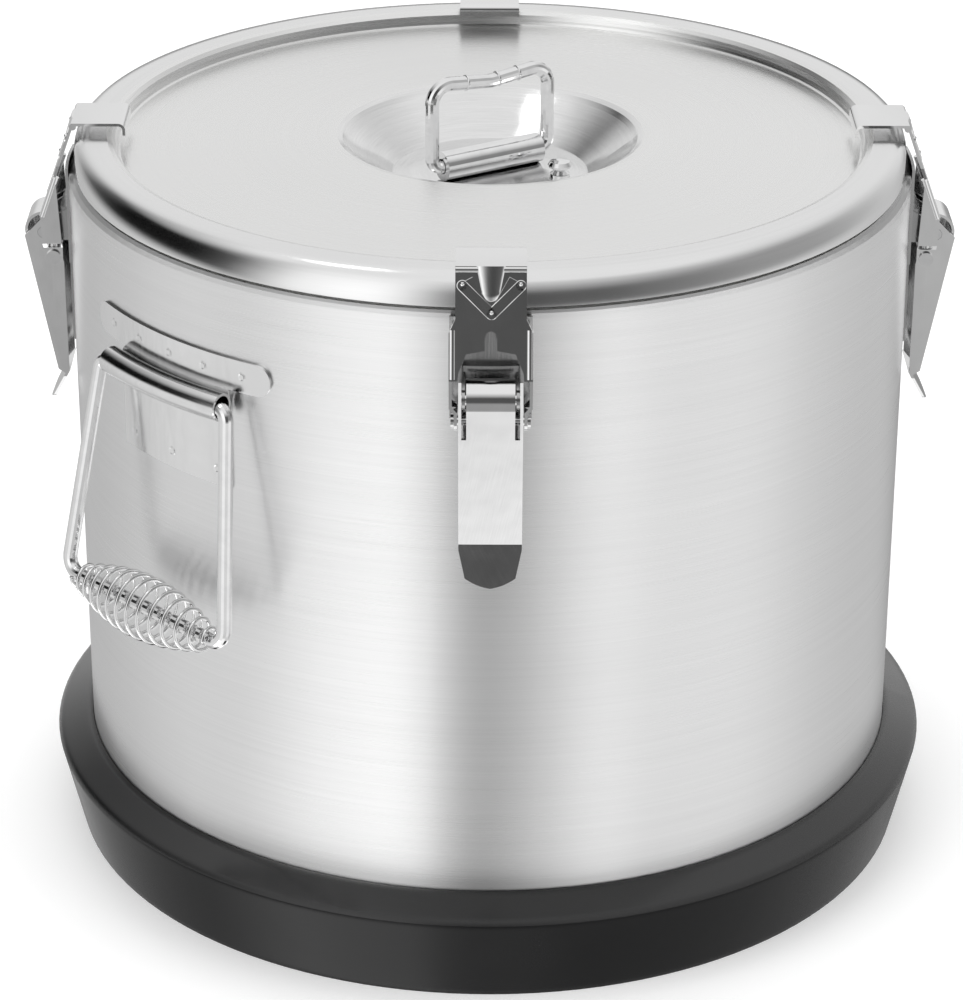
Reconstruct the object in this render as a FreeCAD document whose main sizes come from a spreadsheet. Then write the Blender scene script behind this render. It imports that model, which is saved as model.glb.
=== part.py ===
import FreeCAD, Part
import math
import os
import Sketcher

# Insulated catering container with a clamp-down lid, in millimetres.
# +Z is up, the origin is the centre of the base's underside, and the front latch faces -Y.

Vector = FreeCAD.Vector
Rotation = FreeCAD.Rotation
Placement = FreeCAD.Placement

DRIVING_SIZES = [
    # Body: outer shell, inner pot, foam and base
    ("shell_radius", 180.0),
    ("shell_sheet", 1.0),
    ("shoulder_radius", 4.0),
    ("body_height", 304.0),
    ("body_flange_width", 8.0),
    ("wall_depth", 22.0),
    ("pot_sheet", 1.0),
    ("pot_flange_width", 14.0),
    ("pot_floor_height", 24.0),
    ("pot_corner_radius", 12.0),
    ("base_height", 46.0),
    ("base_foot_flare", 7.0),
    ("base_edge_flare", 16.0),
    ("base_edge_height", 40.0),
    ("base_edge_rounding", 1.5),
    ("base_shelf_height", 8.0),
    ("base_shelf_width", 10.0),
    ("bottom_plate_sheet", 1.2),
    ("foam_gap", 0.4),
    ("fit_gap", 0.3),
    # Lid
    ("lid_inset", 3.0),
    ("lid_sheet", 1.0),
    ("lid_rise", 14.0),
    ("lid_seam_gap", 0.6),
    ("rim_outer_rounding", 5.0),
    ("rim_width", 18.0),
    ("rim_inner_rounding", 4.0),
    ("rim_step", 6.5),
    ("rim_foot_rounding", 1.5),
    ("groove_width", 5.0),
    ("dome_rise", 3.0),
    ("dish_lip_radius", 68.0),
    ("dish_lip_rounding", 9.0),
    ("dish_wall_angle", 50.0),
    ("dish_depth", 18.0),
    ("dish_floor_radius", 42.0),
    ("plug_clearance", 2.0),
    ("plug_depth", 15.0),
    ("plug_corner_radius", 4.0),
    ("gasket_height", 1.6),
    ("gasket_inner_margin", 2.0),
    ("gasket_outer_margin", 1.0),
    # Lid handle and vent
    ("handle_turn", 31.5),
    ("tube_diameter", 12.7),
    ("tube_length", 48.0),
    ("wire_diameter", 6.0),
    ("wire_clearance", 0.3),
    ("lid_bail_height", 37.0),
    ("lid_bail_corner", 8.0),
    ("lid_bail_foot_bend", 4.5),
    ("lid_bail_dip", 3.0),
    ("lid_bail_stub", 14.0),
    ("vent_x", 29.8),
    ("vent_y", -8.6),
    ("vent_head_diameter", 10.5),
    ("vent_neck_diameter", 5.0),
    ("vent_bush_diameter", 9.0),
    ("vent_bush_height", 2.0),
    ("vent_head_height", 3.2),
    ("vent_neck_height", 3.0),
    # Over-centre latches
    ("latch_sheet", 1.2),
    ("pin_reach", 11.5),
    ("pin_drop", 31.5),
    ("pin_diameter", 5.0),
    ("pin_hole_clearance", 0.1),
    ("rivet_inset", 4.0),
    ("rivet_drop", 10.5),
    ("rivet_diameter", 4.0),
    ("rivet_head_diameter", 6.2),
    ("rivet_head_height", 1.2),
    ("lever_width", 25.0),
    ("lever_length", 63.5),
    ("lever_foot_reach", 8.0),
    ("lever_back_reach", 3.4),
    ("tongue_width", 18.8),
    ("tongue_radius", 8.3),
    ("tongue_curl_angle", 108.0),
    ("tongue_slot_drop", 13.0),
    ("tab_length", 17.0),
    ("tab_flare", 9.5),
    ("tab_end_width", 20.0),
    ("claw_width", 27.4),
    ("claw_shoulder_width", 32.4),
    ("claw_side_gap", 0.5),
    ("claw_hover", 2.8),
    ("claw_lip_drop", 1.3),
    ("claw_lip_gap", 3.2),
    ("claw_bend_radius", 3.0),
    ("claw_face_top_reach", 0.5),
    ("claw_corner_reach", 12.5),
    ("claw_corner_drop", 23.5),
    ("claw_arch_drop", 12.5),
    ("claw_notch_width", 4.8),
    ("claw_notch_height", 7.0),
    ("bracket_sheet", 1.2),
    ("bracket_width", 32.0),
    ("bracket_tail_width", 20.0),
    ("bracket_top_drop", 1.5),
    ("bracket_shoulder_drop", 44.0),
    ("bracket_tail_drop", 82.0),
    ("bracket_bridge_reach", 4.4),
    ("bracket_bridge_height", 7.0),
    ("bracket_bridge_width", 21.4),
    ("ear_sheet", 1.3),
    ("ear_spacing", 19.8),
    ("ear_end_radius", 4.0),
    # Side handles
    ("side_handle_turn", 44.5),
    ("barrel_drop", 52.0),
    ("strip_rise", 19.5),
    ("strip_height", 13.5),
    ("strip_half_angle", 14.8),
    ("plate_hang", 37.5),
    ("plate_half_angle", 10.4),
    ("barrel_reach", 6.3),
    ("barrel_radius", 5.8),
    ("barrel_bore_radius", 4.7),
    ("barrel_half_angle", 10.6),
    ("bail_axis_reach", 4.6),
    ("bail_stub_start", 14.0),
    ("bail_top_half_width", 38.8),
    ("bail_bottom_half_width", 50.0),
    ("bail_drop", 96.5),
    ("bail_tilt", 8.5),
    ("bail_top_bend", 4.6),
    ("bail_bottom_bend", 7.0),
    ("grip_turns", 13.0),
    ("grip_wire", 1.8),
    ("grip_middle_diameter", 27.0),
    ("grip_end_diameter", 10.6),
    ("grip_length", 84.0),
]

# Straight runs that stand for a rounded corner of a spun sheet, and for a fine one
ROUND_STEPS = 3
FINE_STEPS = 2
# Flat sides of the bent wires, and of the coil grip's wire and each of its turns
WIRE_SIDES = 16
COIL_SIDES = 6
COIL_STEPS = 16

LATCHES = {"front": -90.0, "right": 0.0, "back": 90.0, "left": 180.0}
HANDLES = {"left": 180.0, "right": 0.0}

doc = FreeCAD.newDocument("thermo_container")
doc.UndoMode = 0
sheet = doc.addObject("Spreadsheet::Sheet", "Sizes")
for row, (alias, number) in enumerate(DRIVING_SIZES, start=1):
    sheet.set(f"A{row}", alias)
    sheet.set(f"B{row}", str(number))
    sheet.setAlias(f"B{row}", alias)
doc.recompute()


class Size:
    """A driving size, or a sum worked out from some: its value, and the text a bound property reads."""

    def __init__(self, value, text):
        self.value = value
        self.text = text

    def __add__(self, other):
        other = as_size(other)
        return Size(self.value + other.value, f"({self.text} + {other.text})")

    def __radd__(self, other):
        return as_size(other) + self

    def __sub__(self, other):
        other = as_size(other)
        return Size(self.value - other.value, f"({self.text} - {other.text})")

    def __rsub__(self, other):
        return as_size(other) - self

    def __mul__(self, other):
        other = as_size(other)
        return Size(self.value * other.value, f"({self.text} * {other.text})")

    def __rmul__(self, other):
        return as_size(other) * self

    def __truediv__(self, other):
        other = as_size(other)
        return Size(self.value / other.value, f"({self.text} / {other.text})")

    def __neg__(self):
        return Size(-self.value, f"(0 - {self.text})")

    def __float__(self):
        return float(self.value)


def as_size(number):
    return number if isinstance(number, Size) else Size(float(number), repr(float(number)))


def sine(degrees):
    degrees = as_size(degrees)
    return Size(math.sin(math.radians(degrees.value)), f"sin({degrees.text} * 1 deg)")


def cosine(degrees):
    degrees = as_size(degrees)
    return Size(math.cos(math.radians(degrees.value)), f"cos({degrees.text} * 1 deg)")


def root(number):
    number = as_size(number)
    return Size(math.sqrt(number.value), f"sqrt({number.text})")


class Sizes:
    """Reads each driving size from the sheet by its alias."""

    def __getattr__(self, alias):
        return Size(float(sheet.get(alias)), f"Sizes.{alias}")


s = Sizes()


def bind(obj, prop, size):
    size = as_size(size)
    setattr(obj, prop, size.value)
    if "Sizes." in size.text:
        obj.setExpression(prop, size.text)


def draw(sketch, path, closed=True):
    """Draws a path of (x, y) points. A third number is the radius of the arc that arrives at the point:
    above 0 the arc turns left along the path, below 0 it turns right. Every point is bound to the sheet."""
    points = [(as_size(p[0]), as_size(p[1])) for p in path]
    radii = [as_size(p[2]) if len(p) > 2 else None for p in path]
    count = len(points)
    spans = [(i, (i + 1) % count) for i in range(count if closed else count - 1)]
    ends = {}
    for index, (a, b) in enumerate(spans):
        start = Vector(points[a][0].value, points[a][1].value, 0)
        end = Vector(points[b][0].value, points[b][1].value, 0)
        radius = radii[b]
        if radius is None:
            sketch.addGeometry(Part.LineSegment(start, end))
            ends[index] = (1, 2)
            continue
        chord = end - start
        rise = math.sqrt(max(radius.value**2 - chord.Length**2 / 4, 0.0))
        side = 1 if radius.value > 0 else -1
        normal = Vector(-chord.y, chord.x, 0).normalize()
        centre = (start + end) * 0.5 + normal * rise * side
        first, last = (start, end) if side > 0 else (end, start)
        first_angle = math.atan2(first.y - centre.y, first.x - centre.x)
        last_angle = math.atan2(last.y - centre.y, last.x - centre.x)
        circle = Part.Circle(centre, Vector(0, 0, 1), abs(radius.value))
        sketch.addGeometry(Part.ArcOfCircle(circle, first_angle, last_angle))
        ends[index] = (1, 2) if side > 0 else (2, 1)
        text = radius.text if side > 0 else (-radius).text
        place = sketch.addConstraint(Sketcher.Constraint("Radius", index, abs(radius.value)))
        if "Sizes." in text:
            sketch.setExpression(f"Constraints[{place}]", text)
    for index, (a, b) in enumerate(spans):
        follower = (index + 1) % len(spans)
        if closed or follower:
            joint = Sketcher.Constraint("Coincident", index, ends[index][1], follower, ends[follower][0])
            sketch.addConstraint(joint)
    for index in range(count):
        owner = (index, ends[index][0]) if index < len(spans) else (index - 1, ends[index - 1][1])
        for kind, size in zip(("DistanceX", "DistanceY"), points[index]):
            place = sketch.addConstraint(Sketcher.Constraint(kind, -1, 1, owner[0], owner[1], size.value))
            if "Sizes." in size.text:
                sketch.setExpression(f"Constraints[{place}]", size.text)
    return sketch


PLANES = {
    "XZ": Rotation(Vector(1, 0, 0), 90),
    "YZ": Rotation(Vector(1, 1, 1), 120),
    "XY": Rotation(),
}


def flat_sketch(name, plane, path, closed=True):
    sketch = doc.addObject("Sketcher::SketchObject", name)
    sketch.Placement = Placement(Vector(), PLANES[plane])
    return draw(sketch, path, closed)


def turned(label, path):
    """A solid turned about the Z axis from a closed profile of (radius, height) points."""
    body = doc.addObject("PartDesign::Body", label)
    body.Label = label
    sketch = body.newObject("Sketcher::SketchObject", f"{label}_profile")
    plane = next(f for f in body.Origin.OriginFeatures if f.Role == "XZ_Plane")
    sketch.AttachmentSupport = (plane, "")
    sketch.MapMode = "FlatFace"
    draw(sketch, path)
    turn = body.newObject("PartDesign::Revolution", f"{label}_turn")
    turn.Profile = sketch
    turn.ReferenceAxis = (sketch, ["V_Axis"])
    turn.Angle = 360.0
    return body


def spun_sheet(label, path, thickness, side=1):
    """Sheet metal spun about the Z axis: an open line of (radius, height) points, thickened to one side."""
    line = flat_sketch(f"{label}_line", "XZ", path, closed=False)
    band = doc.addObject("Part::Offset2D", f"{label}_band")
    band.Source = line
    band.Fill = True
    band.Mode = "Skin"
    band.Join = "Intersection"
    bind(band, "Value", side * thickness)
    turn = doc.addObject("Part::Revolution", label)
    turn.Label = label
    turn.Source = band
    turn.Axis = (0, 0, 1)
    turn.Base = (0, 0, 0)
    turn.Angle = 360
    turn.Solid = True
    return turn


def corner_round(centre_x, centre_y, radius, first, last, steps):
    """Points of a rounded corner in equal steps, between two angles in degrees about its centre."""
    points = []
    for i in range(steps + 1):
        angle = math.radians(first + (last - first) * i / steps)
        points.append((centre_x + radius * math.cos(angle), centre_y + radius * math.sin(angle)))
    return points


def extruded(name, sketch, length):
    """The sketch pushed out evenly to both sides of its plane."""
    solid = doc.addObject("Part::Extrusion", name)
    solid.Base = sketch
    solid.DirMode = "Normal"
    solid.Solid = True
    solid.Symmetric = True
    bind(solid, "LengthFwd", length)
    return solid


def bent_strip(name, path, thickness, width, side=1):
    """A strip of sheet bent along an open line in the XZ plane."""
    line = flat_sketch(f"{name}_line", "XZ", path, closed=False)
    band = doc.addObject("Part::Offset2D", f"{name}_band")
    band.Source = line
    band.Fill = True
    band.Mode = "Skin"
    band.Join = "Intersection"
    bind(band, "Value", side * thickness)
    return extruded(name, band, width)


def cylinder(name, radius, height, centre, axis="Z", along=0.0):
    """A cylinder on an axis through centre, from along to along + height."""
    solid = doc.addObject("Part::Cylinder", name)
    bind(solid, "Radius", radius)
    bind(solid, "Height", height)
    turns = {"Z": Rotation(), "Y": Rotation(Vector(1, 0, 0), -90), "X": Rotation(Vector(0, 1, 0), 90)}
    solid.Placement = Placement(Vector(), turns[axis])
    places = [as_size(c) for c in centre]
    step = "XYZ".index(axis)
    places[step] = places[step] + along
    for letter, place in zip("xyz", places):
        bind_place(solid, letter, place)
    return solid


def bind_place(solid, letter, size):
    size = as_size(size)
    base = solid.Placement.Base
    setattr(base, letter, size.value)
    solid.Placement = Placement(base, solid.Placement.Rotation)
    if "Sizes." in size.text:
        solid.setExpression(f"Placement.Base.{letter}", size.text)


def fused(name, *pieces):
    solid = doc.addObject("Part::MultiFuse", name)
    solid.Shapes = list(pieces)
    return solid


def common(name, *pieces):
    solid = doc.addObject("Part::MultiCommon", name)
    solid.Shapes = list(pieces)
    return solid


def cut(name, base, tool):
    solid = doc.addObject("Part::Cut", name)
    solid.Base = base
    solid.Tool = tool
    return solid


def turned_round(obj, label, degrees):
    """Names the finished sub-part and turns it about the Z axis to its place on the object."""
    obj.Label = label
    obj.Placement = Placement(Vector(), Rotation(Vector(0, 0, 1), degrees))
    return obj


# Radii that several pieces share
pot_radius = s.shell_radius - s.wall_depth
pot_flange_radius = pot_radius + s.pot_flange_width
lid_radius = s.shell_radius - s.lid_inset
rim_inner_radius = lid_radius - s.rim_width
dome_edge_radius = rim_inner_radius - s.groove_width

# Heights that several pieces share
seam = s.body_height
rim_top = seam + s.lid_rise
panel_height = rim_top - s.rim_step
dish_top = panel_height + s.dome_rise
dish_floor = dish_top - s.dish_depth
barrel_height = seam - s.barrel_drop


def make_body():
    """Outer shell, inner pot, foam, closing plate and base ring."""
    shell_top = seam - s.pot_sheet
    shoulder = s.shell_radius - s.shoulder_radius
    spun_sheet(
        "outer_shell",
        [
            (s.shell_radius, s.base_shelf_height),
            *corner_round(shoulder, shell_top - s.shoulder_radius, s.shoulder_radius, 0, 90, ROUND_STEPS),
            (shoulder - s.body_flange_width, shell_top),
        ],
        s.shell_sheet,
    )
    corner_x = pot_radius - s.pot_corner_radius
    corner_z = s.pot_floor_height + s.pot_corner_radius
    spun_sheet(
        "inner_pot",
        [
            (0, s.pot_floor_height + s.pot_sheet),
            *corner_round(corner_x, corner_z, s.pot_corner_radius - s.pot_sheet, -90, 0, ROUND_STEPS),
            (pot_radius - s.pot_sheet, seam),
            (pot_flange_radius, seam),
        ],
        s.pot_sheet,
        side=-1,
    )
    foam_top = shell_top - s.shell_sheet - s.foam_gap
    foam_outside = s.shell_radius - s.shell_sheet - s.foam_gap
    foam_inside = pot_radius + s.foam_gap
    foam_bottom = s.base_shelf_height + s.bottom_plate_sheet + s.foam_gap
    foam_chamfer = (s.pot_corner_radius + s.foam_gap) * math.tan(math.radians(22.5))
    turned(
        "insulation",
        [
            (0, foam_bottom),
            (foam_outside, foam_bottom),
            (foam_outside, foam_top - s.shoulder_radius),
            (foam_outside - s.shoulder_radius, foam_top),
            (foam_inside, foam_top),
            (foam_inside, corner_z - foam_chamfer),
            (corner_x + foam_chamfer, s.pot_floor_height - s.foam_gap),
            (0, s.pot_floor_height - s.foam_gap),
        ],
    )
    plate_edge = s.shell_radius - s.shell_sheet - s.fit_gap
    plate_top = s.base_shelf_height + s.bottom_plate_sheet
    turned(
        "bottom_plate",
        [(0, s.base_shelf_height), (plate_edge, s.base_shelf_height), (plate_edge, plate_top), (0, plate_top)],
    )
    socket = s.shell_radius + s.fit_gap
    edge = s.shell_radius + s.base_edge_flare
    turned(
        "base_ring",
        [
            (s.shell_radius - s.base_shelf_width, 0),
            (s.shell_radius + s.base_foot_flare, 0),
            (edge, s.base_edge_height - s.base_edge_rounding),
            (edge - s.base_edge_rounding, s.base_edge_height),
            (socket + s.shell_sheet, s.base_height),
            (socket, s.base_height),
            (socket, s.base_shelf_height),
            (s.shell_radius - s.base_shelf_width, s.base_shelf_height),
        ],
    )


def lid_surface():
    """The lid's upper surface from the skirt's lower edge to the middle of the dish floor."""
    outer = s.rim_outer_rounding
    inner = s.rim_inner_rounding
    foot = s.rim_foot_rounding
    lip = []
    for i in range(ROUND_STEPS + 1):
        slope = s.dish_wall_angle * (i / ROUND_STEPS)
        lip_x = s.dish_lip_radius - s.dish_lip_rounding * sine(slope)
        lip.append((lip_x, dish_top - s.dish_lip_rounding * (1 - cosine(slope))))
    return [
        (lid_radius, seam + s.lid_seam_gap),
        *corner_round(lid_radius - outer, rim_top - outer, outer, 0, 90, ROUND_STEPS),
        *corner_round(rim_inner_radius + inner, rim_top - inner, inner, 90, 180, ROUND_STEPS),
        *corner_round(rim_inner_radius - foot, panel_height + foot, foot, 0, -90, FINE_STEPS),
        (dome_edge_radius, panel_height),
        *lip,
        (s.dish_floor_radius, dish_floor),
        (0, dish_floor),
    ]


def make_lid():
    """Top sheet with its sunk dish, bottom pan that plugs the pot, foam and gasket."""
    spun_sheet("lid_top", lid_surface(), s.lid_sheet)
    flange_bottom = seam + s.gasket_height
    plug = pot_radius - s.pot_sheet - s.plug_clearance
    plug_bottom = seam - s.plug_depth
    corner = s.plug_corner_radius
    flange_edge = lid_radius - s.lid_sheet - s.fit_gap
    spun_sheet(
        "lid_bottom",
        [
            (0, plug_bottom),
            *corner_round(plug - corner, plug_bottom + corner, corner, -90, 0, FINE_STEPS),
            (plug, flange_bottom),
            (flange_edge, flange_bottom),
        ],
        s.lid_sheet,
    )
    gasket_inside = pot_radius + s.gasket_inner_margin
    gasket_outside = pot_flange_radius - s.gasket_outer_margin
    turned(
        "lid_gasket",
        [
            (gasket_inside, seam),
            (gasket_outside, seam),
            (gasket_outside, flange_bottom),
            (gasket_inside, flange_bottom),
        ],
    )
    gap = s.foam_gap
    foam_bottom = plug_bottom + s.lid_sheet + gap
    foam_side = plug - s.lid_sheet - gap
    shelf = flange_bottom + s.lid_sheet + gap
    under_rim = rim_top - s.lid_sheet - gap
    under_panel = panel_height - s.lid_sheet - gap
    skirt_inside = lid_radius - s.lid_sheet - gap
    step = rim_inner_radius + s.lid_sheet + gap
    turned(
        "lid_insulation",
        [
            (0, foam_bottom),
            (foam_side - s.plug_corner_radius, foam_bottom),
            (foam_side, foam_bottom + s.plug_corner_radius),
            (foam_side, shelf),
            (skirt_inside, shelf),
            (skirt_inside, under_rim - s.rim_outer_rounding),
            (skirt_inside - s.rim_outer_rounding, under_rim),
            (step + s.rim_inner_rounding, under_rim),
            (step, under_rim - s.rim_inner_rounding),
            (step, under_panel),
            (dome_edge_radius, under_panel),
            (s.dish_lip_radius + gap, dish_top - s.lid_sheet - gap),
            (s.dish_floor_radius + 3 * s.lid_sheet, dish_floor - s.lid_sheet - gap),
            (0, dish_floor - s.lid_sheet - gap),
        ],
    )


def make_vent():
    """Pressure vent beside the lid handle: a fixed bush and a knob that lifts out of it."""
    bore = s.vent_neck_diameter / 2 + s.wire_clearance
    bush_top = dish_floor + s.vent_bush_height
    bush = turned(
        "vent_bush",
        [
            (bore, dish_floor),
            (s.vent_bush_diameter / 2, dish_floor),
            (s.vent_bush_diameter / 2 - s.vent_bush_height / 4, bush_top),
            (bore, bush_top),
        ],
    )
    head_bottom = bush_top + s.vent_neck_height
    head = s.vent_head_diameter / 2
    neck = s.vent_neck_diameter / 2
    knob = turned(
        "vent_knob",
        [
            (0, dish_floor + s.fit_gap),
            (neck, dish_floor + s.fit_gap),
            (neck, bush_top + s.fit_gap),
            (head * 0.8, bush_top + s.fit_gap),
            (neck * 0.9, bush_top + s.vent_neck_height / 2),
            (head * 0.9, head_bottom),
            (head, head_bottom + s.vent_head_height / 3),
            (head * 0.8, head_bottom + s.vent_head_height * 0.8),
            (head * 0.3, head_bottom + s.vent_head_height),
            (0, head_bottom + s.vent_head_height),
        ],
    )
    for piece in (bush, knob):
        bind_place(piece, "x", s.vent_x)
        bind_place(piece, "y", s.vent_y)


def rounded_wire(points, radii):
    """Straight runs joined by tangent arcs: radii[i] rounds points[i], and the two ends stay sharp."""
    edges = []
    last = points[0]
    for here, after, radius in zip(points[1:-1], points[2:], radii[1:-1]):
        inward = (last - here).normalize()
        outward = (after - here).normalize()
        half = inward.getAngle(outward) / 2
        reach = radius / math.tan(half)
        start = here + inward * reach
        end = here + outward * reach
        middle_line = (inward + outward).normalize()
        centre = here + middle_line * (radius / math.sin(half))
        middle = centre - middle_line * radius
        edges.append(Part.LineSegment(last, start).toShape())
        edges.append(Part.Arc(start, middle, end).toShape())
        last = end
    edges.append(Part.LineSegment(last, points[-1]).toShape())
    return Part.Wire(edges)


def swept(path, diameter):
    """A rod along the path, its round section drawn as a polygon with WIRE_SIDES sides."""
    start = path.Edges[0]
    first = start.valueAt(start.FirstParameter)
    tangent = start.tangentAt(start.FirstParameter)
    across = tangent.cross(Vector(0, 0, 1)).normalize()
    upward = across.cross(tangent)
    turns = [2 * math.pi * i / WIRE_SIDES for i in range(WIRE_SIDES)]
    corners = [first + (across * math.cos(a) + upward * math.sin(a)) * diameter / 2 for a in turns]
    pipe = Part.BRepOffsetAPI.MakePipeShell(path)
    pipe.add(Part.makePolygon(corners + corners[:1]))
    pipe.build()
    pipe.makeSolid()
    return pipe.shape()


def shown(label, shape, placement=None):
    """A wire form: its shape, then its place."""
    piece = doc.addObject("Part::Feature", label)
    piece.Label = label
    piece.Shape = shape
    if placement is not None:
        piece.Placement = placement
    return piece


def lid_handle_place():
    height = dish_floor.value + s.tube_diameter.value / 2
    return Placement(Vector(0, 0, height), Rotation(Vector(0, 0, 1), s.handle_turn.value))


def make_lid_handle():
    """Tube on the dish floor, and the wire bail whose inturned ends swing in it."""
    half = s.tube_length / 2
    middle = dish_floor + s.tube_diameter / 2
    outside = cylinder("lid_tube_outside", s.tube_diameter / 2, s.tube_length, (0, 0, middle), "X", -half)
    bore_radius = s.wire_diameter / 2 + s.wire_clearance
    inside = cylinder("lid_tube_inside", bore_radius, s.tube_length, (0, 0, middle), "X", -half)
    turned_round(cut("lid_handle_tube", outside, inside), "lid_handle_tube", s.handle_turn.value)
    leg = half.value + s.lid_bail_foot_bend.value + s.wire_clearance.value
    stub = half.value - s.lid_bail_stub.value
    top = s.lid_bail_height.value
    dip = s.lid_bail_dip.value
    corner = s.lid_bail_corner.value
    foot = s.lid_bail_foot_bend.value
    points = [(-stub, 0), (-leg, 0), (-leg, top), (0, top - dip), (leg, top), (leg, 0), (stub, 0)]
    radii = [0, foot, corner, 2 * corner, corner, foot, 0]
    path = rounded_wire([Vector(x, 0, z) for x, z in points], radii)
    shown("lid_bail", swept(path, s.wire_diameter.value), lid_handle_place())


# Latch line in its own plane: x is the distance from the container's axis, z is the height
pin_x = s.shell_radius + s.pin_reach
pin_z = seam - s.pin_drop
rivet_x = pin_x - s.rivet_inset
rivet_z = pin_z - s.rivet_drop


def make_latch(where, turn):
    """One over-centre latch: base bracket, lever, rivet and claw."""
    turned_round(latch_bracket(where), f"latch_base_{where}", turn)
    turned_round(latch_lever(where), f"latch_lever_{where}", turn)
    turned_round(latch_rivet(where), f"latch_rivet_{where}", turn)
    turned_round(latch_claw(where), f"latch_claw_{where}", turn)


def curved_plate(name, half_width, bottom, top, inner, outer):
    """A plate that follows the shell, between two heights, as wide as twice half_width."""
    outside = cylinder(f"{name}_outside", outer, top - bottom, (0, 0, bottom))
    inside = cylinder(f"{name}_inside", inner, top - bottom, (0, 0, bottom))
    ring = cut(f"{name}_ring", outside, inside)
    block = doc.addObject("Part::Box", f"{name}_block")
    bind(block, "Length", outer)
    bind(block, "Width", 2 * half_width)
    bind(block, "Height", top - bottom)
    bind_place(block, "y", -half_width)
    bind_place(block, "z", bottom)
    return common(name, ring, block)


def latch_bracket(where):
    """Plate spot-welded under the seam, with a pressed bridge and two ears that carry the pin."""
    inner = s.shell_radius + s.fit_gap / 3
    outer = inner + s.bracket_sheet
    top = seam - s.bracket_top_drop
    shoulder = seam - s.bracket_shoulder_drop
    tail = seam - s.bracket_tail_drop
    plate = curved_plate(f"bracket_plate_{where}", s.bracket_width / 2, shoulder, top, inner, outer)
    lower = curved_plate(f"bracket_tail_{where}", s.bracket_tail_width / 2, tail, shoulder, inner, outer)
    bridge_bottom = pin_z + s.ear_end_radius
    bridge = curved_plate(
        f"bracket_bridge_{where}",
        s.bracket_bridge_width / 2,
        bridge_bottom,
        bridge_bottom + s.bracket_bridge_height,
        inner,
        s.shell_radius + s.bracket_bridge_reach,
    )
    ear = s.ear_end_radius
    outline = [
        (inner, pin_z - ear),
        (pin_x, pin_z - ear),
        (pin_x + ear, pin_z, ear),
        (pin_x, pin_z + ear, ear),
        (inner, pin_z + ear + s.bracket_bridge_height),
    ]
    ear_width = s.ear_spacing + 2 * s.ear_sheet
    solid_ears = extruded(f"ear_block_{where}", flat_sketch(f"ear_outline_{where}", "XZ", outline), ear_width)
    gap_outline = [
        (outer, pin_z - 2 * ear),
        (pin_x + 2 * ear, pin_z - 2 * ear),
        (pin_x + 2 * ear, pin_z + 4 * ear),
        (outer, pin_z + 4 * ear),
    ]
    gap = extruded(f"ear_gap_{where}", flat_sketch(f"ear_gap_outline_{where}", "XZ", gap_outline), s.ear_spacing)
    hole = cylinder(
        f"ear_hole_{where}",
        s.pin_diameter / 2 + s.pin_hole_clearance,
        2 * ear_width,
        (pin_x, 0, pin_z),
        "Y",
        -ear_width,
    )
    ears = cut(f"ears_{where}", cut(f"ear_pair_{where}", solid_ears, gap), hole)
    return fused(f"bracket_{where}", plate, lower, bridge, ears)


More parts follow.
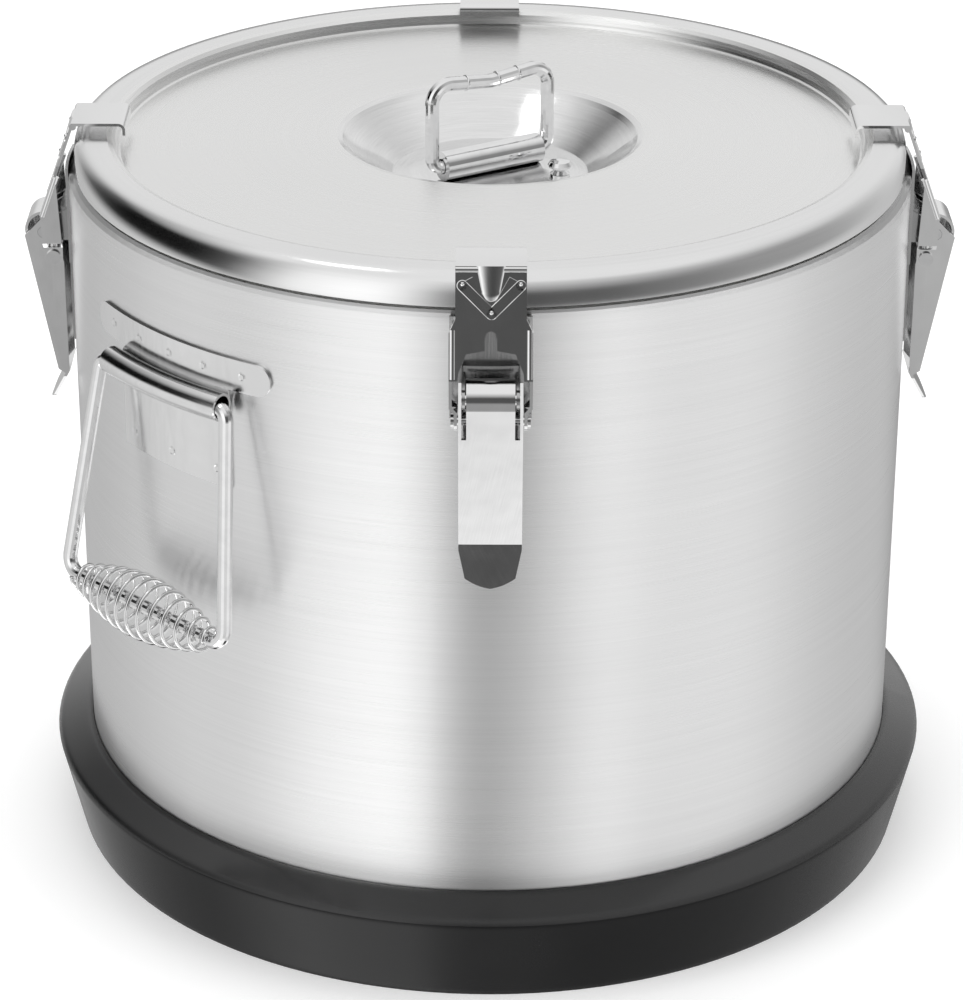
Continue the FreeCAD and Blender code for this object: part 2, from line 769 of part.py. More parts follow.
def latch_lever(where):
    """Channel lever: face with a tongue curled over the pin, two side walls, and a flared thumb tab."""
    sheet_t = s.latch_sheet
    foot_x = s.shell_radius + s.lever_foot_reach
    foot_z = pin_z - s.lever_length
    back_x = s.shell_radius + s.lever_back_reach
    run_x = pin_x - foot_x
    run_z = pin_z - foot_z
    span = root(run_x * run_x + run_z * run_z)
    along = root(span * span - s.tongue_radius * s.tongue_radius)
    # Unit vector from the face's foot to where the face touches the tongue's circle
    face_x = (run_x * along + run_z * s.tongue_radius) / (span * span)
    face_z = (run_z * along - run_x * s.tongue_radius) / (span * span)
    touch_x = foot_x + face_x * along
    touch_z = foot_z + face_z * along
    curl_x = pin_x + s.tongue_radius * cosine(s.tongue_curl_angle)
    curl_z = pin_z + s.tongue_radius * sine(s.tongue_curl_angle)
    tongue_foot_z = touch_z - s.tongue_slot_drop
    tongue_foot_x = foot_x + face_x * ((tongue_foot_z - foot_z) / face_z)
    tab_x = back_x + s.latch_sheet
    tongue = bent_strip(
        f"tongue_{where}",
        [(tongue_foot_x, tongue_foot_z), (touch_x, touch_z), (curl_x, curl_z, s.tongue_radius)],
        sheet_t,
        s.tongue_width,
    )
    # The face is a flat plate: the sheet lies square to its slant, on the pin's side
    across_x = sheet_t * face_z
    across_z = sheet_t * face_x
    face_outline = [
        (foot_x, foot_z),
        (tongue_foot_x, tongue_foot_z),
        (tongue_foot_x - across_x, tongue_foot_z + across_z),
        (foot_x - across_x, foot_z + across_z),
    ]
    face = extruded(f"lever_face_{where}", flat_sketch(f"face_outline_{where}", "XZ", face_outline), s.lever_width)
    wall_end = s.ear_end_radius + 1.5 * s.latch_sheet
    walls_outline = [
        (foot_x, foot_z),
        (touch_x, touch_z),
        (pin_x, pin_z + wall_end + sheet_t),
        (pin_x - wall_end, pin_z),
        (back_x, rivet_z - s.rivet_head_diameter / 2),
        (back_x, foot_z - sheet_t),
        (back_x + sheet_t, foot_z - 2 * sheet_t),
    ]
    walls = extruded(f"walls_{where}", flat_sketch(f"walls_outline_{where}", "XZ", walls_outline), s.lever_width)
    hollow_outline = [
        (0, foot_z - s.lever_length),
        (pin_x + s.lever_length, foot_z - s.lever_length),
        (pin_x + s.lever_length, pin_z + s.lever_length),
        (0, pin_z + s.lever_length),
    ]
    hollow = extruded(
        f"hollow_{where}",
        flat_sketch(f"hollow_outline_{where}", "XZ", hollow_outline),
        s.lever_width - 2 * sheet_t,
    )
    side_walls = cut(f"side_walls_{where}", walls, hollow)
    tab_end_x = back_x + s.tab_flare
    tab_end_z = foot_z - s.tab_length
    tab = bent_strip(
        f"tab_{where}",
        [(foot_x, foot_z), (tab_x, foot_z - sheet_t), (tab_end_x, tab_end_z)],
        sheet_t,
        s.lever_width,
        side=-1,
    )
    half = s.lever_width / 2
    end_half = s.tab_end_width / 2
    tip_z = tab_end_z - 2 * sheet_t
    corner_z = tab_end_z + 3 * sheet_t
    tab_outline = [
        (-half, foot_z + sheet_t),
        (-half, foot_z - 3 * sheet_t),
        (-end_half, corner_z),
        (0, tip_z + 2 * sheet_t, 1.2 * s.tab_end_width),
        (end_half, corner_z, 1.2 * s.tab_end_width),
        (half, foot_z - 3 * sheet_t),
        (half, foot_z + sheet_t),
    ]
    tab_front = extruded(
        f"tab_front_{where}", flat_sketch(f"tab_outline_{where}", "YZ", tab_outline), 3 * s.shell_radius
    )
    thumb_tab = common(f"thumb_tab_{where}", tab, tab_front)
    whole = fused(f"lever_whole_{where}", tongue, face, side_walls, thumb_tab)
    reach = 2 * s.lever_width
    pin_hole = cylinder(
        f"lever_pin_hole_{where}",
        s.pin_diameter / 2 + s.pin_hole_clearance,
        reach,
        (pin_x, 0, pin_z),
        "Y",
        -reach / 2,
    )
    rivet_hole = cylinder(
        f"lever_rivet_hole_{where}",
        s.rivet_diameter / 2 + s.pin_hole_clearance,
        reach,
        (rivet_x, 0, rivet_z),
        "Y",
        -reach / 2,
    )
    return cut(f"lever_{where}", whole, fused(f"lever_holes_{where}", pin_hole, rivet_hole))


flange_inside = s.lever_width / 2 + s.claw_side_gap
flange_outside = flange_inside + s.latch_sheet


def latch_rivet(where):
    """Through rivet that joins the claw's two flanges to the lever's walls."""
    shank_half = flange_outside + s.pin_hole_clearance
    shank = cylinder(
        f"rivet_shank_{where}", s.rivet_diameter / 2, 2 * shank_half, (rivet_x, 0, rivet_z), "Y", -shank_half
    )
    heads = []
    for side, start in (("a", shank_half), ("b", -shank_half - s.rivet_head_height)):
        heads.append(
            cylinder(
                f"rivet_head_{side}_{where}",
                s.rivet_head_diameter / 2,
                s.rivet_head_height,
                (rivet_x, 0, rivet_z),
                "Y",
                start,
            )
        )
    return fused(f"rivet_{where}", shank, *heads)


def latch_claw(where):
    """Claw plate: a lip over the lid's rim, a slanted face with pressed ribs, and two riveted flanges."""
    sheet_t = s.latch_sheet
    plate_bottom = rim_top + s.claw_hover
    plate_top = plate_bottom + sheet_t
    lip_x = rim_inner_radius - s.claw_lip_gap - sheet_t
    lip_z = rim_top - s.claw_lip_drop
    top_x = lid_radius + s.claw_face_top_reach
    corner_x = s.shell_radius + s.claw_corner_reach
    corner_z = seam - s.claw_corner_drop
    bend = s.claw_bend_radius
    # The upper side of the sheet, from the lip's tip over the rim and down the slanted face
    line = [
        (lip_x, lip_z),
        (lip_x, plate_top - bend),
        (lip_x + bend, plate_top, -bend),
        (top_x, plate_top),
        (corner_x, corner_z),
    ]
    face = bent_strip(f"claw_strip_{where}", line, sheet_t, s.claw_shoulder_width, side=-1)
    narrow = s.claw_width / 2
    wide = s.claw_shoulder_width / 2
    flare_top = seam - sheet_t
    flare_bottom = flare_top - 2 * (wide - narrow)
    arch = seam - s.claw_arch_drop
    arch_half = s.lever_width / 2
    notch_half = s.claw_notch_width / 2
    notch_top = arch + s.claw_notch_height
    front_outline = [
        (-narrow, plate_top + bend),
        (-narrow, flare_top),
        (-wide, flare_bottom),
        (-wide, corner_z - bend),
        (-arch_half - sheet_t / 2, corner_z - bend),
        (-arch_half, corner_z + bend),
        (-arch_half + bend, arch - sheet_t),
        (-notch_half, arch),
        (-notch_half, notch_top - notch_half),
        (0, notch_top, -notch_half),
        (notch_half, notch_top - notch_half, -notch_half),
        (notch_half, arch),
        (arch_half - bend, arch - sheet_t),
        (arch_half, corner_z + bend),
        (arch_half + sheet_t / 2, corner_z - bend),
        (wide, corner_z - bend),
        (wide, flare_bottom),
        (narrow, flare_top),
        (narrow, plate_top + bend),
    ]
    front = extruded(
        f"claw_front_{where}", flat_sketch(f"claw_outline_{where}", "YZ", front_outline), 3 * s.shell_radius
    )
    plate = common(f"claw_plate_{where}", face, front)
    slope_x = (corner_x - top_x) / (plate_top - corner_z)
    flange_top = flare_bottom
    flange_top_x = corner_x - slope_x * (flange_top - corner_z)
    knee_z = rivet_z + 3 * s.rivet_diameter / 2
    end = s.rivet_diameter
    inner_x = rivet_x - end
    flange_outline = [
        (flange_top_x - sheet_t, flange_top),
        (flange_top_x - sheet_t / 4, flange_top),
        (corner_x - sheet_t / 4, corner_z),
        (rivet_x + end, rivet_z),
        (rivet_x, rivet_z - end, -end),
        (rivet_x - end, rivet_z, -end),
        (inner_x, knee_z),
    ]
    flange_solid = extruded(
        f"flange_block_{where}", flat_sketch(f"flange_outline_{where}", "XZ", flange_outline), 2 * wide
    )
    bands = []
    for name, sign in (("a", 1), ("b", -1)):
        band_outline = [
            (sign * wide, flange_top + bend),
            (sign * (wide - sheet_t), flange_top + bend),
            (sign * (wide - sheet_t), knee_z + sheet_t),
            (sign * flange_inside, knee_z - sheet_t),
            (sign * flange_inside, rivet_z - 2 * end),
            (sign * flange_outside, rivet_z - 2 * end),
            (sign * flange_outside, knee_z - 1.5 * sheet_t),
            (sign * wide, knee_z + sheet_t / 2),
        ]
        bands.append(
            extruded(
                f"flange_band_{name}_{where}",
                flat_sketch(f"flange_band_outline_{name}_{where}", "YZ", band_outline),
                3 * s.shell_radius,
            )
        )
    flanges = common(f"flanges_{where}", flange_solid, fused(f"flange_bands_{where}", *bands))
    rib_outline = claw_rib_outline(narrow, flare_top)
    rib_front = extruded(
        f"rib_front_{where}", flat_sketch(f"rib_outline_{where}", "YZ", rib_outline), 3 * s.shell_radius
    )
    raised = sheet_t / 2
    rib_side = [
        (top_x + raised, plate_top),
        (corner_x + raised, corner_z),
        (corner_x - raised, corner_z),
        (top_x - raised, plate_top),
    ]
    rib_strip = extruded(f"rib_strip_{where}", flat_sketch(f"rib_side_{where}", "XZ", rib_side), s.claw_width)
    rib = common(f"rib_{where}", rib_strip, rib_front)
    whole = fused(f"claw_whole_{where}", plate, flanges, rib)
    reach = 2 * s.claw_shoulder_width
    hole = cylinder(
        f"claw_hole_{where}",
        s.rivet_diameter / 2 + s.pin_hole_clearance,
        reach,
        (rivet_x, 0, rivet_z),
        "Y",
        -reach / 2,
    )
    return cut(f"claw_{where}", whole, hole)


def claw_rib_outline(half_width, tip_above):
    """The V-shaped rib pressed into the claw's face, seen from the front."""
    arm = half_width - 3 * s.latch_sheet
    thick = 2.5 * s.latch_sheet
    tip = tip_above - s.latch_sheet
    top = tip + 1.5 * arm
    return [
        (0, tip),
        (arm, top),
        (arm - thick, top + thick / 2),
        (0, tip + 1.6 * thick),
        (thick - arm, top + thick / 2),
        (-arm, top),
    ]


def make_latch_pins():
    """The four hinge pins, one solid each, pressed into the ears of the base brackets."""
    half = s.lever_width / 2
    pins = []
    for where, turn in LATCHES.items():
        pin = cylinder(f"pin_{where}", s.pin_diameter / 2, 2 * half, (pin_x, 0, pin_z), "Y", -half)
        turned_pin = doc.addObject("Part::Compound", f"pin_turned_{where}")
        turned_pin.Links = [pin]
        turned_pin.Placement = Placement(Vector(), Rotation(Vector(0, 0, 1), turn))
        pins.append(turned_pin)
    group = doc.addObject("Part::Compound", "latch_pins")
    group.Label = "latch_pins"
    group.Links = pins


def handle_turn(side):
    return HANDLES[side] + s.side_handle_turn.value


def sector_plate(name, half_angle, bottom, top, inner, outer):
    """A plate that follows the shell over an angle either side of the X axis."""
    outside = cylinder(f"{name}_outside", outer, top - bottom, (0, 0, bottom))
    inside = cylinder(f"{name}_inside", inner, top - bottom, (0, 0, bottom))
    for solid in (outside, inside):
        bind(solid, "Angle", 2 * half_angle)
        turn = Rotation(Vector(0, 0, 1), -half_angle.value)
        solid.Placement = Placement(solid.Placement.Base, turn)
        solid.setExpression("Placement.Rotation.Angle", (0 - half_angle).text)
    return cut(name, outside, inside)


def make_side_handle(side):
    """Sheet bracket with a rolled barrel, the wire bail that hangs in it, and the coil grip on the bail."""
    turn = handle_turn(side)
    inner = s.shell_radius + s.fit_gap / 3
    outer = inner + s.bracket_sheet
    strip_top = barrel_height + s.strip_rise
    strip_bottom = strip_top - s.strip_height
    strip = sector_plate(f"strip_{side}", s.strip_half_angle, strip_bottom, strip_top, inner, outer)
    rounds = []
    for name, sign in (("a", 1), ("b", -1)):
        radius = s.strip_height / 2
        disc = cylinder(
            f"strip_end_{name}_{side}",
            radius,
            outer + radius,
            (0, 0, strip_top - radius),
            "X",
        )
        angle = sign * s.strip_half_angle.value
        disc.Placement = Placement(
            disc.Placement.Base, Rotation(Vector(0, 0, 1), angle).multiply(disc.Placement.Rotation)
        )
        rounds.append(disc)
    ring = cut(
        f"strip_ring_{side}",
        cylinder(f"strip_ring_out_{side}", outer, s.strip_height, (0, 0, strip_bottom)),
        cylinder(f"strip_ring_in_{side}", inner, s.strip_height, (0, 0, strip_bottom)),
    )
    ends = common(f"strip_ends_{side}", ring, fused(f"strip_end_discs_{side}", *rounds))
    plate = sector_plate(
        f"plate_{side}",
        s.plate_half_angle,
        barrel_height - s.plate_hang,
        strip_bottom + s.bracket_sheet,
        inner,
        outer,
    )
    barrel_x = s.shell_radius + s.barrel_reach
    barrel = torus_piece(f"barrel_{side}", barrel_x, s.barrel_radius)
    bore = torus_piece(f"barrel_bore_{side}", barrel_x, s.barrel_bore_radius)
    rolled = cut(f"barrel_rolled_{side}", barrel, bore)
    turned_round(fused(f"handle_{side}", strip, ends, plate, rolled), f"handle_bracket_{side}", turn)
    place = bail_place(side)
    shown(f"bail_{side}", swept(bail_path(), s.wire_diameter.value), place)
    bar = Placement(Vector(0, 0, -s.bail_drop.value), Rotation())
    shown(f"spring_grip_{side}", grip_shape(side), place.multiply(bar))


def torus_piece(name, ring_radius, tube_radius):
    piece = doc.addObject("Part::Torus", name)
    bind(piece, "Radius1", ring_radius)
    bind(piece, "Radius2", tube_radius)
    bind(piece, "Angle3", 2 * s.barrel_half_angle)
    piece.Placement = Placement(Vector(), Rotation(Vector(0, 0, 1), -s.barrel_half_angle.value))
    bind_place(piece, "z", barrel_height)
    return piece


def bail_place(side):
    """The bail's own frame: X along the barrel, Y outwards, Z up, turned by its tilt about the barrel."""
    reach = s.shell_radius.value + s.bail_axis_reach.value
    upright = Placement(Vector(0, reach, barrel_height.value), Rotation(Vector(1, 0, 0), s.bail_tilt.value))
    around = Placement(Vector(), Rotation(Vector(0, 0, 1), handle_turn(side) - 90))
    return around.multiply(upright)


def bail_path():
    stub = s.bail_stub_start.value
    top = s.bail_top_half_width.value
    bottom = s.bail_bottom_half_width.value
    drop = s.bail_drop.value
    points = [(-stub, 0), (-top, 0), (-bottom, -drop), (bottom, -drop), (top, 0), (stub, 0)]
    bends = [0, s.bail_top_bend.value, s.bail_bottom_bend.value]
    return rounded_wire([Vector(x, 0, z) for x, z in points], bends + bends[::-1])


def grip_point(share):
    """A point of the coil's centreline at a share of its length, with its way along and its way outwards."""
    length = s.grip_length.value
    end = (s.grip_end_diameter.value - s.grip_wire.value) / 2
    middle = (s.grip_middle_diameter.value - s.grip_wire.value) / 2
    radius = end + (middle - end) * math.sin(math.pi * share)
    growth = (middle - end) * math.pi * math.cos(math.pi * share)
    spin = 2 * math.pi * s.grip_turns.value
    outward = Vector(0, math.cos(spin * share), math.sin(spin * share))
    around = Vector(0, -outward.z, outward.y)
    way = Vector(length, 0, 0) + outward * growth + around * (radius * spin)
    return Vector(length * (share - 0.5), 0, 0) + outward * radius, way.normalize(), outward


def coil_section(share):
    """The wire's section, square to the coil's centreline."""
    point, way, outward = grip_point(share)
    across = way.cross(outward).normalize()
    upward = across.cross(way)
    turns = [2 * math.pi * i / COIL_SIDES for i in range(COIL_SIDES)]
    reach = s.grip_wire.value / 2
    corners = [point + (across * math.cos(a) + upward * math.sin(a)) * reach for a in turns]
    return Part.makePolygon(corners + corners[:1])


def grip_shape(side):
    """The coil grip round the bail's lower bar: one unbroken wire in short straight runs."""
    steps = round(s.grip_turns.value * COIL_STEPS)
    sections = [coil_section(i / steps) for i in range(steps + 1)]
    print(f"spring_grip_{side}: least gap to itself {least_gap(steps):.2f} mm")
    return Part.makeLoft(sections, True, True)


def least_gap(steps):
    """The least gap between the coil's neighbouring turns, between the corners of its centreline."""
    points = [grip_point(i / steps)[0] for i in range(steps + 1)]
    near = COIL_STEPS // 2
    far = COIL_STEPS + near
    least = min((p - q).Length for i, p in enumerate(points) for q in points[i + near : i + far])
    return least - s.grip_wire.value


make_body()
make_lid()
make_vent()
make_lid_handle()
for where, turn in LATCHES.items():
    make_latch(where, turn)
make_latch_pins()
for side in HANDLES:
    make_side_handle(side)
doc.recompute()

NODES = (
    ["outer_shell", "inner_pot", "insulation", "bottom_plate", "base_ring", "latch_pins"]
    + ["lid_top", "lid_bottom", "lid_insulation", "lid_gasket", "lid_handle_tube", "vent_bush"]
    + ["lid_bail", "vent_knob"]
    + [f"{piece}_{where}" for where in LATCHES for piece in ("latch_base", "latch_lever", "latch_rivet", "latch_claw")]
    + [f"{piece}_{side}" for side in HANDLES for piece in ("handle_bracket", "bail", "spring_grip")]
)

failed = [f"{obj.Name} {obj.State}" for obj in doc.Objects if "Invalid" in obj.State or "Error" in obj.State]
if failed:
    raise RuntimeError("failed: " + ", ".join(failed))

os.makedirs("parts", exist_ok=True)
for node in NODES:
    piece = next(obj for obj in doc.Objects if obj.Label == node)
    shape = piece.Shape
    if shape.isNull() or not shape.isValid() or not shape.Solids:
        raise RuntimeError(f"{node} is not a valid solid")
    shape.exportStep(f"parts/{node}.step")
    print(f"{node}: {len(shape.Solids)} solid(s), {shape.Volume:.0f} mm3")
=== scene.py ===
import bpy
import math
from mathutils import Matrix, Vector


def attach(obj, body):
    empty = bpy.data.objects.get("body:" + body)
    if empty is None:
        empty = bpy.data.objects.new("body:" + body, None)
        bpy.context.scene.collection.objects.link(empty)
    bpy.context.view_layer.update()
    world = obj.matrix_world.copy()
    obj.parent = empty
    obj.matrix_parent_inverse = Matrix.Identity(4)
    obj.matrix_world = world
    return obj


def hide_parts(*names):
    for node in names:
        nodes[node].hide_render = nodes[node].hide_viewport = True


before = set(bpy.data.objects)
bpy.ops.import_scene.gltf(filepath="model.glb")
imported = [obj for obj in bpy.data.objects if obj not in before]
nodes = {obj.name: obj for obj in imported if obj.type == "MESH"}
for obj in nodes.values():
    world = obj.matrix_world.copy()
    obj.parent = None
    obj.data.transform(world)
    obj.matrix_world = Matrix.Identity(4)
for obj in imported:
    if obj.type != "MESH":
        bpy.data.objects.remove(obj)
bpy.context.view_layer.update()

MM = 0.001

# Camera, fitted to the photograph
CAMERA_PLACE = Vector((-4.74, -1467.45, 827.12)) * MM
CAMERA_DROP = math.radians(25.0806)
CAMERA_PAN = math.radians(0.0587)
CAMERA_ROLL = math.radians(0.1716)
CAMERA_LENS = 130.26
SENSOR_WIDTH = 36.0
CAMERA_NEAR = 0.1
CAMERA_FAR = 50

# Body and lid
SHELL_RADIUS = 180 * MM
PLATE_SURFACE = 181.3 * MM
LID_RADIUS = 177 * MM
RIM_FLAT_RADIUS = 163 * MM
RIM_TOP = 318 * MM
RIM_ROUNDING = ((-8 * MM, math.radians(90)), (3 * MM, math.radians(36)), (17 * MM, math.radians(6)))
DISH_LIP_RADIUS = 66 * MM
SHOULDER_HEIGHT = 299.2 * MM
SHOULDER_RADIUS = 176 * MM
BASE_EDGE_HEIGHT = 38.4 * MM
ABOVE_ALL = 350 * MM
EDGE_ROUNDING = 4 * MM
SMOOTH_ANGLE = 36
PRESSING_SMOOTH_ANGLE = 20

SPUN_NODES = ("outer_shell", "inner_pot", "lid_top", "lid_bottom", "vent_knob")

# Latches: the claw's slanted face from its fold down, and what is pressed into it
LATCH_TURNS = {"front": -math.pi / 2, "right": 0.0, "back": math.pi / 2, "left": math.pi}
CLAW_FOLD = Vector((177.5, 0, 322.0)) * MM
CLAW_SLANT = math.atan2(15.0, 41.5)
RIB_ENDS = ((-11.0, 7.4), (0.2, 18.4), (11.4, 7.4))
RIB_WIDTH = 4.4 * MM
RIB_HEIGHT = 0.7 * MM
RIB_EDGE = 0.3 * MM
BOSS_RADIUS = 5.6 * MM
BOSS_NOSE = 3.6 * MM
BOSS_LENGTH = 10 * MM
BOSS_FLATTENING = 0.2
DOT_RADIUS = 1.0 * MM
DOT_FLATTENING = 1.25
DOT_RISE = 0.6 * MM
# Rounded bends of the claw: across, down and length in mm, and turn in the face
ROLLS = ((0, 1.3, 27.3, math.pi / 2), (-14.9, 34.0, 19.0, 0.0), (14.9, 34.0, 19.0, 0.0))
ROLL_RADIUS = 1.5 * MM
ROLL_SINK = 1.1 * MM

# Lid handle: its tube's axis, and the collars pressed into the bail's top.
# Each collar has its place along the tube and above it in mm, and its dip in degrees.
LID_HANDLE_TURN = math.radians(31.5)
LID_HANDLE_HEIGHT = 302.85 * MM
COLLARS = ((-12.3, 35.3, 5.9), (3.3, 34.5, -8.0), (13.3, 35.4, -5.9))
COLLAR_RADIUS = 2.95 * MM
COLLAR_BEAD = 0.5 * MM

# Side handles
HANDLE_TURNS = {"left": math.radians(224.5), "right": math.radians(44.5)}
BAIL_REACH = 184.6 * MM
BARREL_HEIGHT = 252 * MM
BAIL_DROP = 96.5 * MM
BAIL_TILT = math.radians(8.5)
GRIP_TURNS = 13
GRIP_LENGTH = 84 * MM
GRIP_WIRE = 1.8 * MM
GRIP_STEPS = 40
GRIP_END_DIAMETER = 10.6 * MM
GRIP_MIDDLE_DIAMETER = 27 * MM
STRIP_WELD_HEIGHT = 264.8 * MM
STRIP_WELD_ANGLES = (-12.6, -6.3, 0, 6.3, 12.6)
PLATE_WELD_HEIGHT = 221.5 * MM
PLATE_WELD_ANGLES = (-8.2, 0, 8.2)
WELD_RADIUS = 1.9 * MM
WELD_HEIGHT = 0.18 * MM
WELD_RING = 0.4 * MM
WELD_DIMPLE = 0.14 * MM
WELD_SINK = 0.05 * MM


def deselect():
    bpy.ops.object.select_all(action="DESELECT")


def selected_piece(name):
    """The new primitive, named, alone in the selection."""
    piece = bpy.context.object
    piece.name = name
    piece.data.name = name
    return piece


def place_in_mesh(piece, matrix=None):
    """Moves the piece's place into its mesh, so that its object sits at the origin."""
    if matrix is not None:
        piece.matrix_world = matrix @ piece.matrix_world
    deselect()
    piece.select_set(True)
    bpy.context.view_layer.objects.active = piece
    bpy.ops.object.transform_apply(location=True, rotation=True, scale=True)


def apply_modifiers(piece):
    bpy.context.view_layer.objects.active = piece
    for modifier in list(piece.modifiers):
        bpy.ops.object.modifier_apply(modifier=modifier.name)


def joined(pieces, name):
    deselect()
    for piece in pieces:
        piece.select_set(True)
    bpy.context.view_layer.objects.active = pieces[0]
    bpy.ops.object.join()
    return selected_piece(name)


# Least radius at which a turn about the axis is still worked out
NEAR_AXIS = 0.1 * MM

# Where a noise's values mostly lie
NOISE_SPAN = (0.3, 0.7)

# Depths of the finest lines and of soft waves in a sheet
LINE_DEPTH = 0.01 * MM
WAVE_DEPTH = 0.6 * MM


# Shader groups that several finishes share

def new_group(name, inputs, outputs):
    """An empty shader group with named float inputs (with their values) and outputs."""
    group = bpy.data.node_groups.new(name, "ShaderNodeTree")
    for label, value in inputs.items():
        socket = group.interface.new_socket(label, in_out="INPUT", socket_type="NodeSocketFloat")
        socket.default_value = value
    for label in outputs:
        group.interface.new_socket(label, in_out="OUTPUT", socket_type="NodeSocketFloat")
    return group, group.nodes.new("NodeGroupInput"), group.nodes.new("NodeGroupOutput")


def math_node(tree, operation, *values):
    """A Math node; each value is a number or a socket."""
    node = tree.nodes.new("ShaderNodeMath")
    node.operation = operation
    for slot, value in zip(node.inputs, values):
        if isinstance(value, (int, float)):
            slot.default_value = value
        else:
            tree.links.new(value, slot)
    return node.outputs[0]


def map_range(tree, value, low, high, new_low, new_high):
    node = tree.nodes.new("ShaderNodeMapRange")
    tree.links.new(value, node.inputs["Value"])
    limits = {"From Min": low, "From Max": high, "To Min": new_low, "To Max": new_high}
    for label, limit in limits.items():
        if isinstance(limit, (int, float)):
            node.inputs[label].default_value = limit
        else:
            tree.links.new(limit, node.inputs[label])
    return node.outputs["Result"]


def noise(tree, vector, scale, detail=2.0, rough=0.5):
    node = tree.nodes.new("ShaderNodeTexNoise")
    node.inputs["Scale"].default_value = scale
    node.inputs["Detail"].default_value = detail
    node.inputs["Roughness"].default_value = rough
    tree.links.new(vector, node.inputs["Vector"])
    return node.outputs["Fac"]


def object_place(tree):
    """Object coordinates split in x, y and z."""
    place = tree.nodes.new("ShaderNodeTexCoord")
    split = tree.nodes.new("ShaderNodeSeparateXYZ")
    tree.links.new(place.outputs["Object"], split.inputs[0])
    return split.outputs


def vector_of(tree, x, y, z):
    node = tree.nodes.new("ShaderNodeCombineXYZ")
    for slot, value in zip(node.inputs, (x, y, z)):
        if isinstance(value, (int, float)):
            slot.default_value = value
        else:
            tree.links.new(value, slot)
    return node.outputs[0]


def radius_of(tree, x, y):
    square = math_node(tree, "ADD", math_node(tree, "MULTIPLY", x, x), math_node(tree, "MULTIPLY", y, y))
    return math_node(tree, "MAXIMUM", math_node(tree, "SQRT", square), NEAR_AXIS)


def make_spun_grain():
    """Fine lines round the Z axis, as a polishing belt leaves them on a spun or rolled sheet."""
    group, given, result = new_group("spun grain", {"Around": 2.0, "Across": 2500.0}, ["Grain", "Streaks"])
    x, y, z = object_place(group)
    radius = radius_of(group, x, y)
    around = given.outputs["Around"]
    across = given.outputs["Across"]
    turn_x = math_node(group, "MULTIPLY", math_node(group, "DIVIDE", x, radius), around)
    turn_y = math_node(group, "MULTIPLY", math_node(group, "DIVIDE", y, radius), around)
    travel = math_node(group, "ADD", math_node(group, "MULTIPLY", z, 1.31), radius)
    fine = vector_of(group, turn_x, turn_y, math_node(group, "MULTIPLY", travel, across))
    coarse_across = math_node(group, "MULTIPLY", across, 0.13)
    coarse = vector_of(group, turn_x, turn_y, math_node(group, "MULTIPLY", travel, coarse_across))
    group.links.new(noise(group, fine, 1.0, 3.0, 0.65), result.inputs["Grain"])
    group.links.new(noise(group, coarse, 1.0, 2.0), result.inputs["Streaks"])
    return group


def make_sheet_grain():
    """Fine upright lines of a rolled sheet."""
    group, given, result = new_group("sheet grain", {"Along": 60.0, "Across": 1800.0}, ["Grain"])
    x, y, z = object_place(group)
    side = math_node(group, "ADD", x, math_node(group, "MULTIPLY", y, 1.17))
    across = math_node(group, "MULTIPLY", side, given.outputs["Across"])
    along = math_node(group, "MULTIPLY", z, given.outputs["Along"])
    lines = noise(group, vector_of(group, across, 0.0, along), 1.0, 3.0, 0.6)
    group.links.new(lines, result.inputs["Grain"])
    return group


def make_handling_marks():
    """Soft patches where hands and cloths have dulled the surface."""
    group, given, result = new_group("handling marks", {"Size": 14.0, "Amount": 1.0}, ["Marks"])
    place = group.nodes.new("ShaderNodeTexCoord").outputs["Object"]
    scaled = group.nodes.new("ShaderNodeVectorMath")
    scaled.operation = "SCALE"
    group.links.new(place, scaled.inputs[0])
    group.links.new(given.outputs["Size"], scaled.inputs["Scale"])
    patches = noise(group, scaled.outputs[0], 1.0, 4.0, 0.55)
    marks = map_range(group, patches, 0.42, 0.72, 0.0, given.outputs["Amount"])
    group.links.new(marks, result.inputs["Marks"])
    return group


# Pointiness at which an edge is fully rubbed
SHARPEST = 0.62


def make_edge_wear():
    """Bright rubbed edges, from how sharply the surface turns."""
    group, given, result = new_group("edge wear", {"Start": 0.52, "Amount": 1.0}, ["Wear"])
    geometry = group.nodes.new("ShaderNodeNewGeometry")
    sharpness = geometry.outputs["Pointiness"]
    wear = map_range(group, sharpness, given.outputs["Start"], SHARPEST, 0.0, given.outputs["Amount"])
    group.links.new(wear, result.inputs["Wear"])
    return group


SPUN_GRAIN = make_spun_grain()
SHEET_GRAIN = make_sheet_grain()
HANDLING_MARKS = make_handling_marks()
EDGE_WEAR = make_edge_wear()


def use_group(tree, group, **values):
    node = tree.nodes.new("ShaderNodeGroup")
    node.node_tree = group
    for label, value in values.items():
        node.inputs[label.capitalize()].default_value = value
    return node.outputs


def new_finish(name, **constants):
    """A material with its Principled shader and constants set on the shader's own sockets."""
    finish = bpy.data.materials.new(name)
    finish.use_nodes = True
    shader = finish.node_tree.nodes["Principled BSDF"]
    for label, value in constants.items():
        shader.inputs[label.replace("_", " ")].default_value = value
    return finish, finish.node_tree, shader


def mix_colours(tree, factor, first, second):
    node = tree.nodes.new("ShaderNodeMix")
    node.data_type = "RGBA"
    tree.links.new(factor, node.inputs["Factor"])
    node.inputs[6].default_value = (*first, 1)
    node.inputs[7].default_value = (*second, 1)
    return node.outputs[2]


def add_bump(tree, shader, height, strength, distance, under=None):
    """A bump in the shader's normal, laid over another normal where one is given."""
    bump = tree.nodes.new("ShaderNodeBump")
    if under is not None:
        tree.links.new(under, bump.inputs["Normal"])
    bump.inputs["Strength"].default_value = strength
    bump.inputs["Distance"].default_value = distance
    tree.links.new(height, bump.inputs["Height"])
    tree.links.new(bump.outputs[0], shader.inputs["Normal"])


